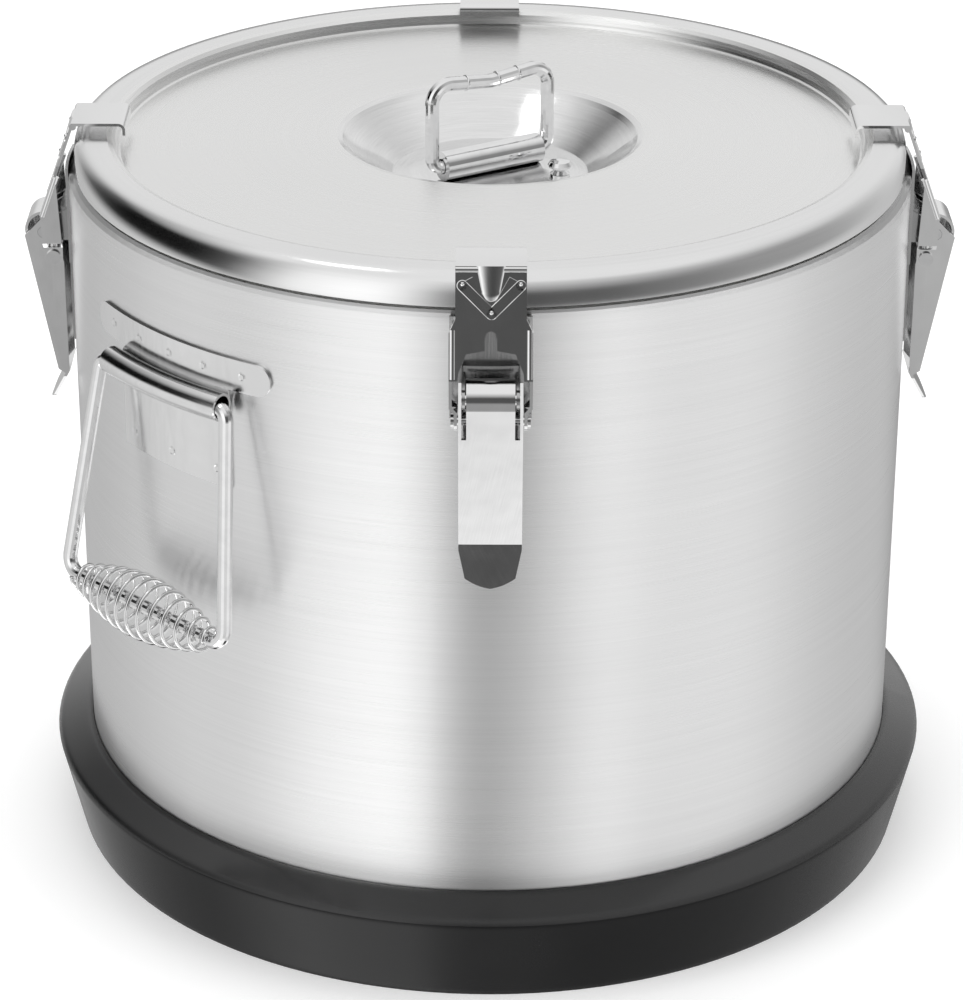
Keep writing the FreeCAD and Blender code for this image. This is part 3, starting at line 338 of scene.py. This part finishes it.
def leaning_normal(tree, x, y, radius, lean):
    """A normal that faces away from the axis and leans up by an angle."""
    level = math_node(tree, "DIVIDE", math_node(tree, "COSINE", lean), radius)
    out_x = math_node(tree, "MULTIPLY", x, level)
    out_y = math_node(tree, "MULTIPLY", y, level)
    return vector_of(tree, out_x, out_y, math_node(tree, "SINE", lean))


def rim_normal(tree):
    """The lid's edge lit as one long rounding, from flat on top to nearly upright at the seam."""
    x, y, z = object_place(tree)
    radius = radius_of(tree, x, y)
    below = math_node(tree, "SUBTRACT", RIM_TOP, z)
    depth = math_node(tree, "SUBTRACT", below, math_node(tree, "SUBTRACT", LID_RADIUS, radius))
    (top, flat), (edge, turned), (seam, upright) = RIM_ROUNDING
    over = map_range(tree, depth, top, edge, flat, turned)
    down = map_range(tree, depth, edge, seam, 0.0, turned - upright)
    return leaning_normal(tree, x, y, radius, math_node(tree, "SUBTRACT", over, down))


def upright_normal(tree):
    """The shell's rolled shoulder carries on the wall's light."""
    x, y, z = object_place(tree)
    return leaning_normal(tree, x, y, radius_of(tree, x, y), 0.0)


def spun_steel(name, dark, bright, rough_low, rough_high, grain, anisotropy=0.75, marks=0.35, shape=None):
    """Stainless steel brushed round the Z axis: its highlights stretch across the lines."""
    finish, tree, shader = new_finish(name, Metallic=1.0, Anisotropic=anisotropy, Anisotropic_Rotation=0.25)
    lines = use_group(tree, SPUN_GRAIN, around=grain[0], across=grain[1])
    patches = use_group(tree, HANDLING_MARKS, size=11.0, amount=marks)
    fine = math_node(tree, "MULTIPLY", lines["Grain"], 0.6)
    coarse = math_node(tree, "MULTIPLY", lines["Streaks"], 0.4)
    tone = map_range(tree, math_node(tree, "ADD", fine, coarse), *NOISE_SPAN, 0.0, 1.0)
    tree.links.new(mix_colours(tree, tone, dark, bright), shader.inputs["Base Color"])
    rough = map_range(tree, lines["Grain"], *NOISE_SPAN, rough_low, rough_high)
    rough = math_node(tree, "ADD", rough, math_node(tree, "MULTIPLY", patches["Marks"], 0.08))
    tree.links.new(rough, shader.inputs["Roughness"])
    under = shape(tree) if shape else None
    add_bump(tree, shader, lines["Grain"], 0.05, LINE_DEPTH, under)
    tangent = tree.nodes.new("ShaderNodeTangent")
    tangent.direction_type = "RADIAL"
    tangent.axis = "Z"
    tree.links.new(tangent.outputs[0], shader.inputs["Tangent"])
    return finish


def pressed_steel(name, dark, bright, rough_low, rough_high):
    """Stainless strip for the latches: faint upright rolling lines, rubbed edges and handling marks."""
    finish, tree, shader = new_finish(name, Metallic=1.0)
    lines = use_group(tree, SHEET_GRAIN)
    patches = use_group(tree, HANDLING_MARKS, size=70.0, amount=0.5)
    wear = use_group(tree, EDGE_WEAR, start=0.53)
    rolled = map_range(tree, lines["Grain"], *NOISE_SPAN, 0.0, 0.8)
    tone = math_node(tree, "MAXIMUM", rolled, wear["Wear"])
    tree.links.new(mix_colours(tree, tone, dark, bright), shader.inputs["Base Color"])
    rough = map_range(tree, lines["Grain"], *NOISE_SPAN, rough_low, rough_high)
    rough = math_node(tree, "ADD", rough, math_node(tree, "MULTIPLY", patches["Marks"], 0.05))
    tree.links.new(rough, shader.inputs["Roughness"])
    place = tree.nodes.new("ShaderNodeTexCoord").outputs["Object"]
    waves = tree.nodes.new("ShaderNodeBump")
    waves.inputs["Strength"].default_value = 0.12
    waves.inputs["Distance"].default_value = WAVE_DEPTH
    tree.links.new(noise(tree, place, 95.0, 1.0, 0.4), waves.inputs["Height"])
    add_bump(tree, shader, lines["Grain"], 0.03, LINE_DEPTH, waves.outputs[0])
    return finish


def wire_steel(name):
    """Bright drawn wire and turned pins, nearly mirror smooth, with faint drawing marks."""
    finish, tree, shader = new_finish(name, Metallic=1.0)
    patches = use_group(tree, HANDLING_MARKS, size=160.0, amount=1.0)
    tone = mix_colours(tree, patches["Marks"], (0.84, 0.84, 0.84), (0.78, 0.78, 0.785))
    tree.links.new(tone, shader.inputs["Base Color"])
    tree.links.new(map_range(tree, patches["Marks"], 0.0, 1.0, 0.05, 0.09), shader.inputs["Roughness"])
    add_bump(tree, shader, patches["Marks"], 0.02, LINE_DEPTH)
    return finish


def base_rubber(name, coat):
    """Hard black rubber with a moulded sheen: fine grain, dusty patches, and edges rounded and rubbed."""
    finish, tree, shader = new_finish(name, Specular_IOR_Level=0.16, Coat_Weight=coat, Coat_Roughness=0.12)
    place = tree.nodes.new("ShaderNodeTexCoord").outputs["Object"]
    grain = noise(tree, place, 900.0, 3.0, 0.6)
    patches = use_group(tree, HANDLING_MARKS, size=9.0, amount=1.0)
    wear = use_group(tree, EDGE_WEAR, start=0.51, amount=0.5)
    tone = math_node(tree, "MAXIMUM", math_node(tree, "MULTIPLY", patches["Marks"], 0.35), wear["Wear"])
    colour = mix_colours(tree, tone, (0.004, 0.004, 0.0042), (0.014, 0.014, 0.0145))
    tree.links.new(colour, shader.inputs["Base Color"])
    rough = map_range(tree, grain, *NOISE_SPAN, 0.14, 0.2)
    rough = math_node(tree, "ADD", rough, math_node(tree, "MULTIPLY", patches["Marks"], 0.12))
    tree.links.new(rough, shader.inputs["Roughness"])
    edge = tree.nodes.new("ShaderNodeBevel")
    edge.samples = 4
    edge.inputs["Radius"].default_value = EDGE_ROUNDING
    add_bump(tree, shader, grain, 0.06, 0.04 * MM, edge.outputs[0])
    tree.links.new(edge.outputs[0], shader.inputs["Coat Normal"])
    return finish


def soft_seal(name, dark, bright):
    """Silicone rubber or foam: matte, with pores."""
    finish, tree, shader = new_finish(name, Metallic=0.0)
    place = tree.nodes.new("ShaderNodeTexCoord").outputs["Object"]
    pores = noise(tree, place, 420.0, 3.0, 0.7)
    tone = map_range(tree, pores, *NOISE_SPAN, 0.0, 1.0)
    tree.links.new(mix_colours(tree, tone, dark, bright), shader.inputs["Base Color"])
    tree.links.new(map_range(tree, pores, *NOISE_SPAN, 0.6, 0.8), shader.inputs["Roughness"])
    add_bump(tree, shader, pores, 0.3, 0.3 * MM)
    return finish


SHELL_STEEL = spun_steel("shell steel", (0.79, 0.79, 0.79), (0.86, 0.86, 0.86), 0.26, 0.32, (1.6, 4200.0))
LID_STEEL = spun_steel(
    "lid steel", (0.825, 0.825, 0.82), (0.85, 0.85, 0.845), 0.25, 0.28, (0.5, 5200.0), anisotropy=0.4
)
RIM_STEEL = spun_steel(
    "lid rim steel",
    (0.8, 0.8, 0.8),
    (0.84, 0.84, 0.84),
    0.14,
    0.18,
    (1.0, 3000.0),
    anisotropy=0.3,
    marks=0.15,
    shape=rim_normal,
)
SHOULDER_STEEL = spun_steel(
    "shoulder steel",
    (0.79, 0.79, 0.79),
    (0.86, 0.86, 0.86),
    0.26,
    0.32,
    (1.6, 4200.0),
    shape=upright_normal,
)
DISH_STEEL = spun_steel(
    "dish steel", (0.74, 0.74, 0.74), (0.86, 0.86, 0.86), 0.1, 0.2, (2.5, 2200.0), anisotropy=0.6, marks=0.2
)
POT_STEEL = spun_steel("pot steel", (0.7, 0.7, 0.69), (0.8, 0.8, 0.79), 0.22, 0.32, (2.0, 1200.0))
LATCH_STEEL = pressed_steel("latch steel", (0.76, 0.76, 0.76), (0.84, 0.84, 0.84), 0.06, 0.11)
BRACKET_STEEL = pressed_steel("bracket steel", (0.76, 0.76, 0.76), (0.84, 0.84, 0.84), 0.12, 0.18)
WIRE_STEEL = wire_steel("wire steel")
BASE_RUBBER = base_rubber("base rubber", 0.0)
BEVEL_RUBBER = base_rubber("base rubber bevel", 1.0)
# The latch base's steel is darker than the other latch steel. The darkness is painted shade, standing for
# the shadow and dark reflections behind the claws.
PAINTED_SHADE_BRIDGE_STEEL = pressed_steel("latch base steel with painted shade", (0.36, 0.36, 0.36), (0.5, 0.5, 0.5), 0.16, 0.24)
GASKET = soft_seal("gasket silicone", (0.5, 0.5, 0.48), (0.62, 0.62, 0.6))
FOAM = soft_seal("insulating foam", (0.62, 0.5, 0.25), (0.8, 0.7, 0.42))


def finish_for(node):
    plain = {
        "outer_shell": SHELL_STEEL,
        "bottom_plate": SHELL_STEEL,
        "inner_pot": POT_STEEL,
        "lid_top": LID_STEEL,
        "lid_bottom": POT_STEEL,
        "base_ring": BASE_RUBBER,
        "lid_gasket": GASKET,
        "insulation": FOAM,
        "lid_insulation": FOAM,
        "lid_handle_tube": WIRE_STEEL,
    }
    if node in plain:
        return plain[node]
    if node.startswith(("bail_", "lid_bail", "spring_grip", "vent_", "latch_rivet", "latch_pins")):
        return WIRE_STEEL
    if node.startswith("handle_bracket"):
        return BRACKET_STEEL
    # The latch bases get the darker steel, whose darkness is painted shade.
    if node.startswith("latch_base"):
        return PAINTED_SHADE_BRIDGE_STEEL
    return LATCH_STEEL


def dress(piece, finish):
    piece.data.materials.clear()
    piece.data.materials.append(finish)


def radius_at(point):
    return math.hypot(point.x, point.y)


def height_at(point):
    return point.z


def shoulder_at(point):
    """The height of a point on the shell's outside, and nothing for its inner edge."""
    return point.z if radius_at(point) > SHOULDER_RADIUS else 0


def dress_in_rings(piece, measure, finishes):
    """Gives each face its ring's finish, from (limit, material) pairs in rising order."""
    piece.data.materials.clear()
    for limit, finish in finishes:
        piece.data.materials.append(finish)
    for face in piece.data.polygons:
        reach = measure(face.center)
        face.material_index = next(i for i, (limit, finish) in enumerate(finishes) if reach <= limit)


def smooth_by_angle(piece, degrees):
    """Soft shading over the roundings, crisp at sharper edges, with the broad faces kept flat."""
    deselect()
    piece.select_set(True)
    bpy.context.view_layer.objects.active = piece
    bpy.ops.mesh.customdata_custom_splitnormals_clear()
    bpy.ops.object.shade_smooth_by_angle(angle=math.radians(degrees))
    weighting = piece.modifiers.new("weighting", "WEIGHTED_NORMAL")
    weighting.keep_sharp = True
    bpy.ops.object.modifier_apply(modifier=weighting.name)


for node, piece in nodes.items():
    dress(piece, finish_for(node))
for node in SPUN_NODES:
    smooth_by_angle(nodes[node], SMOOTH_ANGLE)
dress_in_rings(
    nodes["lid_top"],
    radius_at,
    [(DISH_LIP_RADIUS, DISH_STEEL), (RIM_FLAT_RADIUS, LID_STEEL), (SHELL_RADIUS, RIM_STEEL)],
)
dress_in_rings(
    nodes["outer_shell"],
    shoulder_at,
    [(SHOULDER_HEIGHT, SHELL_STEEL), (ABOVE_ALL, SHOULDER_STEEL)],
)
dress_in_rings(
    nodes["base_ring"],
    height_at,
    [(BASE_EDGE_HEIGHT, BASE_RUBBER), (ABOVE_ALL, BEVEL_RUBBER)],
)


def bail_frame(side):
    """Carries the bail's own frame to its place: X along the barrel, Y outwards, Z up, at the barrel."""
    around = Matrix.Rotation(HANDLE_TURNS[side] - math.pi / 2, 4, "Z")
    return around @ Matrix.Translation((0, BAIL_REACH, BARREL_HEIGHT)) @ Matrix.Rotation(BAIL_TILT, 4, "X")


def coil_radius(share):
    """Radius of the coil's centreline at a share of its length: narrow ends, full in the middle."""
    end = (GRIP_END_DIAMETER - GRIP_WIRE) / 2
    middle = (GRIP_MIDDLE_DIAMETER - GRIP_WIRE) / 2
    return end + (middle - end) * math.sin(math.pi * share)


def make_coil_grip(side):
    """Round spring wire wound round the bail's lower bar, with closed ends."""
    start_radius = coil_radius(0)
    deselect()
    bpy.ops.mesh.primitive_circle_add(
        vertices=16, radius=GRIP_WIRE / 2, location=(-GRIP_LENGTH / 2, start_radius, 0)
    )
    coil = selected_piece(f"coil_grip_{side}")
    place_in_mesh(coil)
    winding = coil.modifiers.new("winding", "SCREW")
    winding.axis = "X"
    winding.angle = 2 * math.pi
    winding.screw_offset = GRIP_LENGTH / GRIP_TURNS
    winding.iterations = GRIP_TURNS
    winding.steps = GRIP_STEPS
    winding.render_steps = GRIP_STEPS
    winding.use_smooth_shade = True
    apply_modifiers(coil)
    for vertex in coil.data.vertices:
        x, y, z = vertex.co
        part_turn = math.atan2(z, y) / (2 * math.pi)
        whole = round((x / GRIP_LENGTH + 0.5) * GRIP_TURNS - part_turn)
        share = min(max((whole + part_turn) / GRIP_TURNS, 0), 1)
        grown = 1 + (coil_radius(share) - start_radius) / math.hypot(y, z)
        vertex.co = (x, y * grown, z * grown)
    deselect()
    coil.select_set(True)
    bpy.context.view_layer.objects.active = coil
    bpy.ops.object.mode_set(mode="EDIT")
    bpy.ops.mesh.select_all(action="DESELECT")
    bpy.ops.mesh.select_non_manifold()
    bpy.ops.mesh.fill()
    bpy.ops.mesh.select_all(action="SELECT")
    bpy.ops.mesh.normals_make_consistent(inside=False)
    bpy.ops.object.mode_set(mode="OBJECT")
    place_in_mesh(coil, bail_frame(side) @ Matrix.Translation((0, 0, -BAIL_DROP)))
    dress(coil, WIRE_STEEL)
    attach(coil, f"grip_{side}")
    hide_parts(f"spring_grip_{side}")


def weld_mark(angle, height):
    """A spot weld's shallow ringed dimple on the bracket's face."""
    deselect()
    bpy.ops.mesh.primitive_circle_add(vertices=24, radius=WELD_RADIUS, fill_type="NGON")
    mark = selected_piece("weld_mark")
    bpy.ops.object.mode_set(mode="EDIT")
    bpy.ops.mesh.select_all(action="SELECT")
    bpy.ops.mesh.extrude_region_move(TRANSFORM_OT_translate={"value": (0, 0, WELD_HEIGHT)})
    bpy.ops.mesh.inset(thickness=WELD_RING)
    bpy.ops.mesh.inset(thickness=WELD_RING, depth=-WELD_DIMPLE)
    bpy.ops.object.mode_set(mode="OBJECT")
    across = Matrix.Rotation(math.pi / 2, 4, "Y")
    out = Matrix.Translation((PLATE_SURFACE - WELD_SINK, 0, height))
    place_in_mesh(mark, Matrix.Rotation(angle, 4, "Z") @ out @ across)
    return mark


def make_weld_marks(side):
    marks = []
    for height, angles in ((STRIP_WELD_HEIGHT, STRIP_WELD_ANGLES), (PLATE_WELD_HEIGHT, PLATE_WELD_ANGLES)):
        for angle in angles:
            marks.append(weld_mark(HANDLE_TURNS[side] + math.radians(angle), height))
    welds = joined(marks, f"spot_welds_{side}")
    dress(welds, BRACKET_STEEL)
    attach(welds, "container")


def claw_face(across, down):
    """The frame of a point on the claw's face: X across, Y up the slant, Z out of the sheet."""
    slant = Matrix.Rotation(CLAW_SLANT, 4, "X")
    upright = Matrix.Rotation(math.pi / 2, 4, "Z") @ Matrix.Rotation(math.pi / 2, 4, "X")
    start = Matrix.Translation(CLAW_FOLD)
    return start @ upright @ slant.inverted() @ Matrix.Translation((across, -down, 0))


def flattened(share):
    return Matrix.Diagonal((1, 1, share, 1))


def make_rib(points):
    """The V-shaped rib: two bars between three round ends, with rounded edges."""
    bars = []
    for start, end in zip(points, points[1:]):
        run = end - start
        middle = (start + end) / 2
        deselect()
        bpy.ops.mesh.primitive_cube_add(size=1, scale=(RIB_WIDTH, 2 * RIB_HEIGHT, run.length))
        bar = selected_piece("rib_bar")
        lean = Matrix.Rotation(math.atan2(run.x, run.y), 4, "Z") @ Matrix.Rotation(math.pi / 2, 4, "X")
        place_in_mesh(bar, claw_face(middle.x, middle.y) @ lean)
        bars.append(bar)
    for point in points:
        deselect()
        bpy.ops.mesh.primitive_cylinder_add(vertices=40, radius=RIB_WIDTH / 2, depth=2 * RIB_HEIGHT)
        end_round = selected_piece("rib_end")
        place_in_mesh(end_round, claw_face(point.x, point.y))
        bars.append(end_round)
    rib = joined(bars, "rib")
    edging = rib.modifiers.new("edging", "BEVEL")
    edging.width = RIB_EDGE
    edging.segments = 2
    apply_modifiers(rib)
    return rib


def make_dots(points):
    """A raised dot at each end of the rib and at its bend."""
    dots = []
    for point in points:
        deselect()
        bpy.ops.mesh.primitive_uv_sphere_add(segments=24, ring_count=12, radius=DOT_RADIUS)
        dot = selected_piece("dot")
        place_in_mesh(dot, claw_face(point.x, point.y - DOT_RISE) @ flattened(DOT_FLATTENING))
        dots.append(dot)
    return dots


def make_boss():
    """The bulge below the fold, narrowing to a round nose."""
    deselect()
    bpy.ops.mesh.primitive_cone_add(vertices=40, radius1=BOSS_NOSE, radius2=BOSS_RADIUS, depth=BOSS_LENGTH)
    boss = selected_piece("boss")
    upward = Matrix.Rotation(-math.pi / 2, 4, "X")
    place_in_mesh(boss, claw_face(0, BOSS_LENGTH / 2) @ flattened(BOSS_FLATTENING) @ upward)
    deselect()
    bpy.ops.mesh.primitive_uv_sphere_add(segments=40, ring_count=20, radius=BOSS_NOSE)
    nose = selected_piece("nose")
    place_in_mesh(nose, claw_face(0, BOSS_LENGTH) @ flattened(BOSS_FLATTENING))
    return [boss, nose]


def make_rolls():
    """Rounded bends along the fold and down both sides."""
    rolls = []
    for across, down, length, turn in ROLLS:
        deselect()
        bpy.ops.mesh.primitive_cylinder_add(vertices=32, radius=ROLL_RADIUS, depth=length * MM)
        roll = selected_piece("roll")
        lying = Matrix.Rotation(turn, 4, "Z") @ Matrix.Rotation(math.pi / 2, 4, "X")
        sunk = Matrix.Translation((0, 0, -ROLL_SINK))
        place_in_mesh(roll, claw_face(across * MM, down * MM) @ sunk @ lying)
        rolls.append(roll)
    return rolls


def make_claw_pressing(where):
    """What is pressed into a claw: boss, rib, dots and rounded bends, in one piece that rides the claw."""
    points = [Vector((across * MM, down * MM, 0)) for across, down in RIB_ENDS]
    shapes = [make_rib(points), *make_dots(points), *make_boss(), *make_rolls()]
    pressing = joined(shapes, f"claw_pressing_{where}")
    deselect()
    pressing.select_set(True)
    bpy.ops.object.shade_smooth_by_angle(angle=math.radians(PRESSING_SMOOTH_ANGLE))
    place_in_mesh(pressing, Matrix.Rotation(LATCH_TURNS[where], 4, "Z"))
    dress(pressing, LATCH_STEEL)
    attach(pressing, f"claw_{where}")


def make_bail_collars():
    """Three narrow collars pressed into the top of the lid handle's wire."""
    rings = []
    for along, height, dip in COLLARS:
        deselect()
        bpy.ops.mesh.primitive_torus_add(
            major_segments=40, minor_segments=12, major_radius=COLLAR_RADIUS, minor_radius=COLLAR_BEAD
        )
        ring = selected_piece("collar")
        around = Matrix.Rotation(math.radians(dip), 4, "Y") @ Matrix.Rotation(math.pi / 2, 4, "Y")
        place = Matrix.Translation((along * MM, 0, LID_HANDLE_HEIGHT + height * MM))
        place_in_mesh(ring, Matrix.Rotation(LID_HANDLE_TURN, 4, "Z") @ place @ around)
        rings.append(ring)
    collars = joined(rings, "bail_collars")
    bpy.ops.object.shade_smooth()
    dress(collars, WIRE_STEEL)
    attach(collars, "lid_handle")


for where in LATCH_TURNS:
    make_claw_pressing(where)
make_bail_collars()
for side in HANDLE_TURNS:
    make_coil_grip(side)
    make_weld_marks(side)


FLOOR_SIZE = 8
FLOOR_GLOW = 0.2


def make_floor():
    """A pale table top, lit a little towards the camera so that it runs out to white."""
    deselect()
    bpy.ops.mesh.primitive_plane_add(size=FLOOR_SIZE)
    floor = selected_piece("floor")
    finish, tree, shader = new_finish("pale floor", Roughness=0.9, Base_Color=(0.93, 0.93, 0.93, 1))
    glow = tree.nodes.new("ShaderNodeEmission")
    seen = tree.nodes.new("ShaderNodeLightPath")
    strength = math_node(tree, "MULTIPLY", seen.outputs["Is Camera Ray"], FLOOR_GLOW)
    tree.links.new(strength, glow.inputs["Strength"])
    total = tree.nodes.new("ShaderNodeAddShader")
    tree.links.new(shader.outputs[0], total.inputs[0])
    tree.links.new(glow.outputs[0], total.inputs[1])
    tree.links.new(total.outputs[0], tree.nodes["Material Output"].inputs["Surface"])
    dress(floor, finish)
    floor.visible_glossy = False


# The studio as polished steel shows it: turn from the camera's side in degrees, and brightness
LOWER_WALLS = [
    (-180, 0.25),
    (-162, 0.52),
    (-138, 0.57),
    (-110, 0.70),
    (-88, 0.82),
    (-66, 0.76),
    (-50, 0.84),
    (-32, 0.96),
    (-22, 0.96),
    (-13, 0.66),
    (-4, 0.34),
    (6, 0.45),
    (16, 0.71),
    (30, 1.06),
    (45, 0.96),
    (60, 0.94),
    (77, 0.91),
    (96, 0.75),
    (119, 0.63),
    (145, 0.56),
    (163, 0.3),
    (180, 0.25),
]
UPPER_WALLS = [
    (-180, 0.85),
    (-155, 0.70),
    (-135, 0.1),
    (-75, 0.08),
    (-58, 0.85),
    (-45, 1.15),
    (-28, 1.15),
    (-16, 0.60),
    (-6, 0.14),
    (22, 0.11),
    (40, 0.16),
    (70, 0.30),
    (110, 0.45),
    (150, 0.80),
    (180, 0.85),
]
TABLE = [
    (-180, 0.6),
    (-95, 0.7),
    (-62, 2.4),
    (-26, 2.4),
    (-11, 1.14),
    (10, 1.12),
    (30, 0.8),
    (180, 0.6),
]
BRIGHTEST_WALL = 1.3
BRIGHTEST_TABLE = 2.4

# Where table, walls and ceiling fade into each other: sines of the angle over the horizon
TABLE_FADE = (-0.74, -0.6)
WALL_FADE = (-0.04, 0.14)
CEILING_FADE = (0.5, 0.85)
CEILING_LEVEL = 0.9
PLAIN_LEVEL = 0.72

# Soft lights: name, place, (width, height) in metres, power, and whether the steel shows the lamp
CONTAINER_MIDDLE = Vector((0, 0, 0.15))
SOFTBOXES = [
    ("left softbox", (-1.4, -1.2, 1.9), (1.4, 1.4), 16, False),
    ("right softbox", (1.5, -0.6, 1.7), (1.4, 1.4), 10, False),
    ("top softbox", (0, 0.6, 2.2), (1.6, 1.6), 12, False),
    ("overhead light", (-0.65, 0.16, 2.2), (0.35, 0.35), 0.8, True),
]


def wall_ramp(tree, share, levels, brightest=BRIGHTEST_WALL):
    """Brightness round the room, from stops of (degrees, level)."""
    ramp = tree.nodes.new("ShaderNodeValToRGB")
    ramp.color_ramp.interpolation = "CARDINAL"
    stops = ramp.color_ramp.elements
    stops.remove(stops[1])
    for angle, level in levels:
        stop = stops[0] if angle == -180 else stops.new((angle + 180) / 360)
        tone = level / brightest
        stop.color = (tone, tone, tone, 1)
    tree.links.new(share, ramp.inputs[0])
    return math_node(tree, "MULTIPLY", ramp.outputs["Color"], brightest)


def blended(tree, factor, low, high):
    """A float mix; low and high are numbers or sockets."""
    mix = tree.nodes.new("ShaderNodeMix")
    tree.links.new(factor, mix.inputs["Factor"])
    for slot, value in ((mix.inputs[2], low), (mix.inputs[3], high)):
        if isinstance(value, (int, float)):
            slot.default_value = value
        else:
            tree.links.new(value, slot)
    return mix.outputs[0]


def make_studio():
    """A pale room: a white table, walls with soft bright and dark stretches, and a bright ceiling."""
    world = bpy.data.worlds.new("studio")
    bpy.context.scene.world = world
    world.use_nodes = True
    tree = world.node_tree
    background = tree.nodes["Background"]
    background.inputs["Color"].default_value = (1, 1, 1, 1)
    place = tree.nodes.new("ShaderNodeTexCoord")
    split = tree.nodes.new("ShaderNodeSeparateXYZ")
    tree.links.new(place.outputs["Generated"], split.inputs[0])
    x, y, z = split.outputs
    turn = math_node(tree, "ARCTAN2", x, math_node(tree, "MULTIPLY", y, -1.0))
    share = map_range(tree, turn, -math.pi, math.pi, 0.0, 1.0)
    lower = wall_ramp(tree, share, LOWER_WALLS)
    upper = wall_ramp(tree, share, UPPER_WALLS)
    walls = blended(tree, map_range(tree, z, *WALL_FADE, 0.0, 1.0), lower, upper)
    walls = blended(tree, map_range(tree, z, *CEILING_FADE, 0.0, 1.0), walls, CEILING_LEVEL)
    table = wall_ramp(tree, share, TABLE, BRIGHTEST_TABLE)
    room = blended(tree, map_range(tree, z, *TABLE_FADE, 0.0, 1.0), table, walls)
    seen = tree.nodes.new("ShaderNodeLightPath")
    plain = blended(tree, seen.outputs["Is Glossy Ray"], PLAIN_LEVEL, room)
    final = blended(tree, seen.outputs["Is Camera Ray"], plain, 1.0)
    tree.links.new(final, background.inputs["Strength"])


def add_softbox(name, place, size, power, in_steel):
    """A soft light aimed at the container's middle; in_steel shows the lamp itself in the metal."""
    deselect()
    bpy.ops.object.light_add(type="AREA", location=place)
    lamp = bpy.context.object
    lamp.name = name
    lamp.data.shape = "RECTANGLE"
    lamp.data.size, lamp.data.size_y = size
    lamp.data.energy = power
    aim = CONTAINER_MIDDLE - Vector(place)
    lamp.rotation_euler = aim.to_track_quat("-Z", "Y").to_euler()
    lamp.visible_glossy = in_steel


def make_camera():
    forward = Vector((
        math.sin(CAMERA_PAN) * math.cos(CAMERA_DROP),
        math.cos(CAMERA_PAN) * math.cos(CAMERA_DROP),
        -math.sin(CAMERA_DROP),
    ))
    level_right = forward.cross(Vector((0, 0, 1))).normalized()
    level_up = level_right.cross(forward)
    right = level_right * math.cos(CAMERA_ROLL) + level_up * math.sin(CAMERA_ROLL)
    up = level_up * math.cos(CAMERA_ROLL) - level_right * math.sin(CAMERA_ROLL)
    turn = Matrix((right, up, -forward)).transposed()
    deselect()
    bpy.ops.object.camera_add()
    camera = bpy.context.object
    camera.matrix_world = Matrix.Translation(CAMERA_PLACE) @ turn.to_4x4()
    camera.data.lens = CAMERA_LENS
    camera.data.sensor_width = SENSOR_WIDTH
    camera.data.clip_start = CAMERA_NEAR
    camera.data.clip_end = CAMERA_FAR
    bpy.context.scene.camera = camera


make_floor()
make_studio()
for softbox in SOFTBOXES:
    add_softbox(*softbox)
make_camera()
bpy.context.scene.view_settings.view_transform = "Standard"
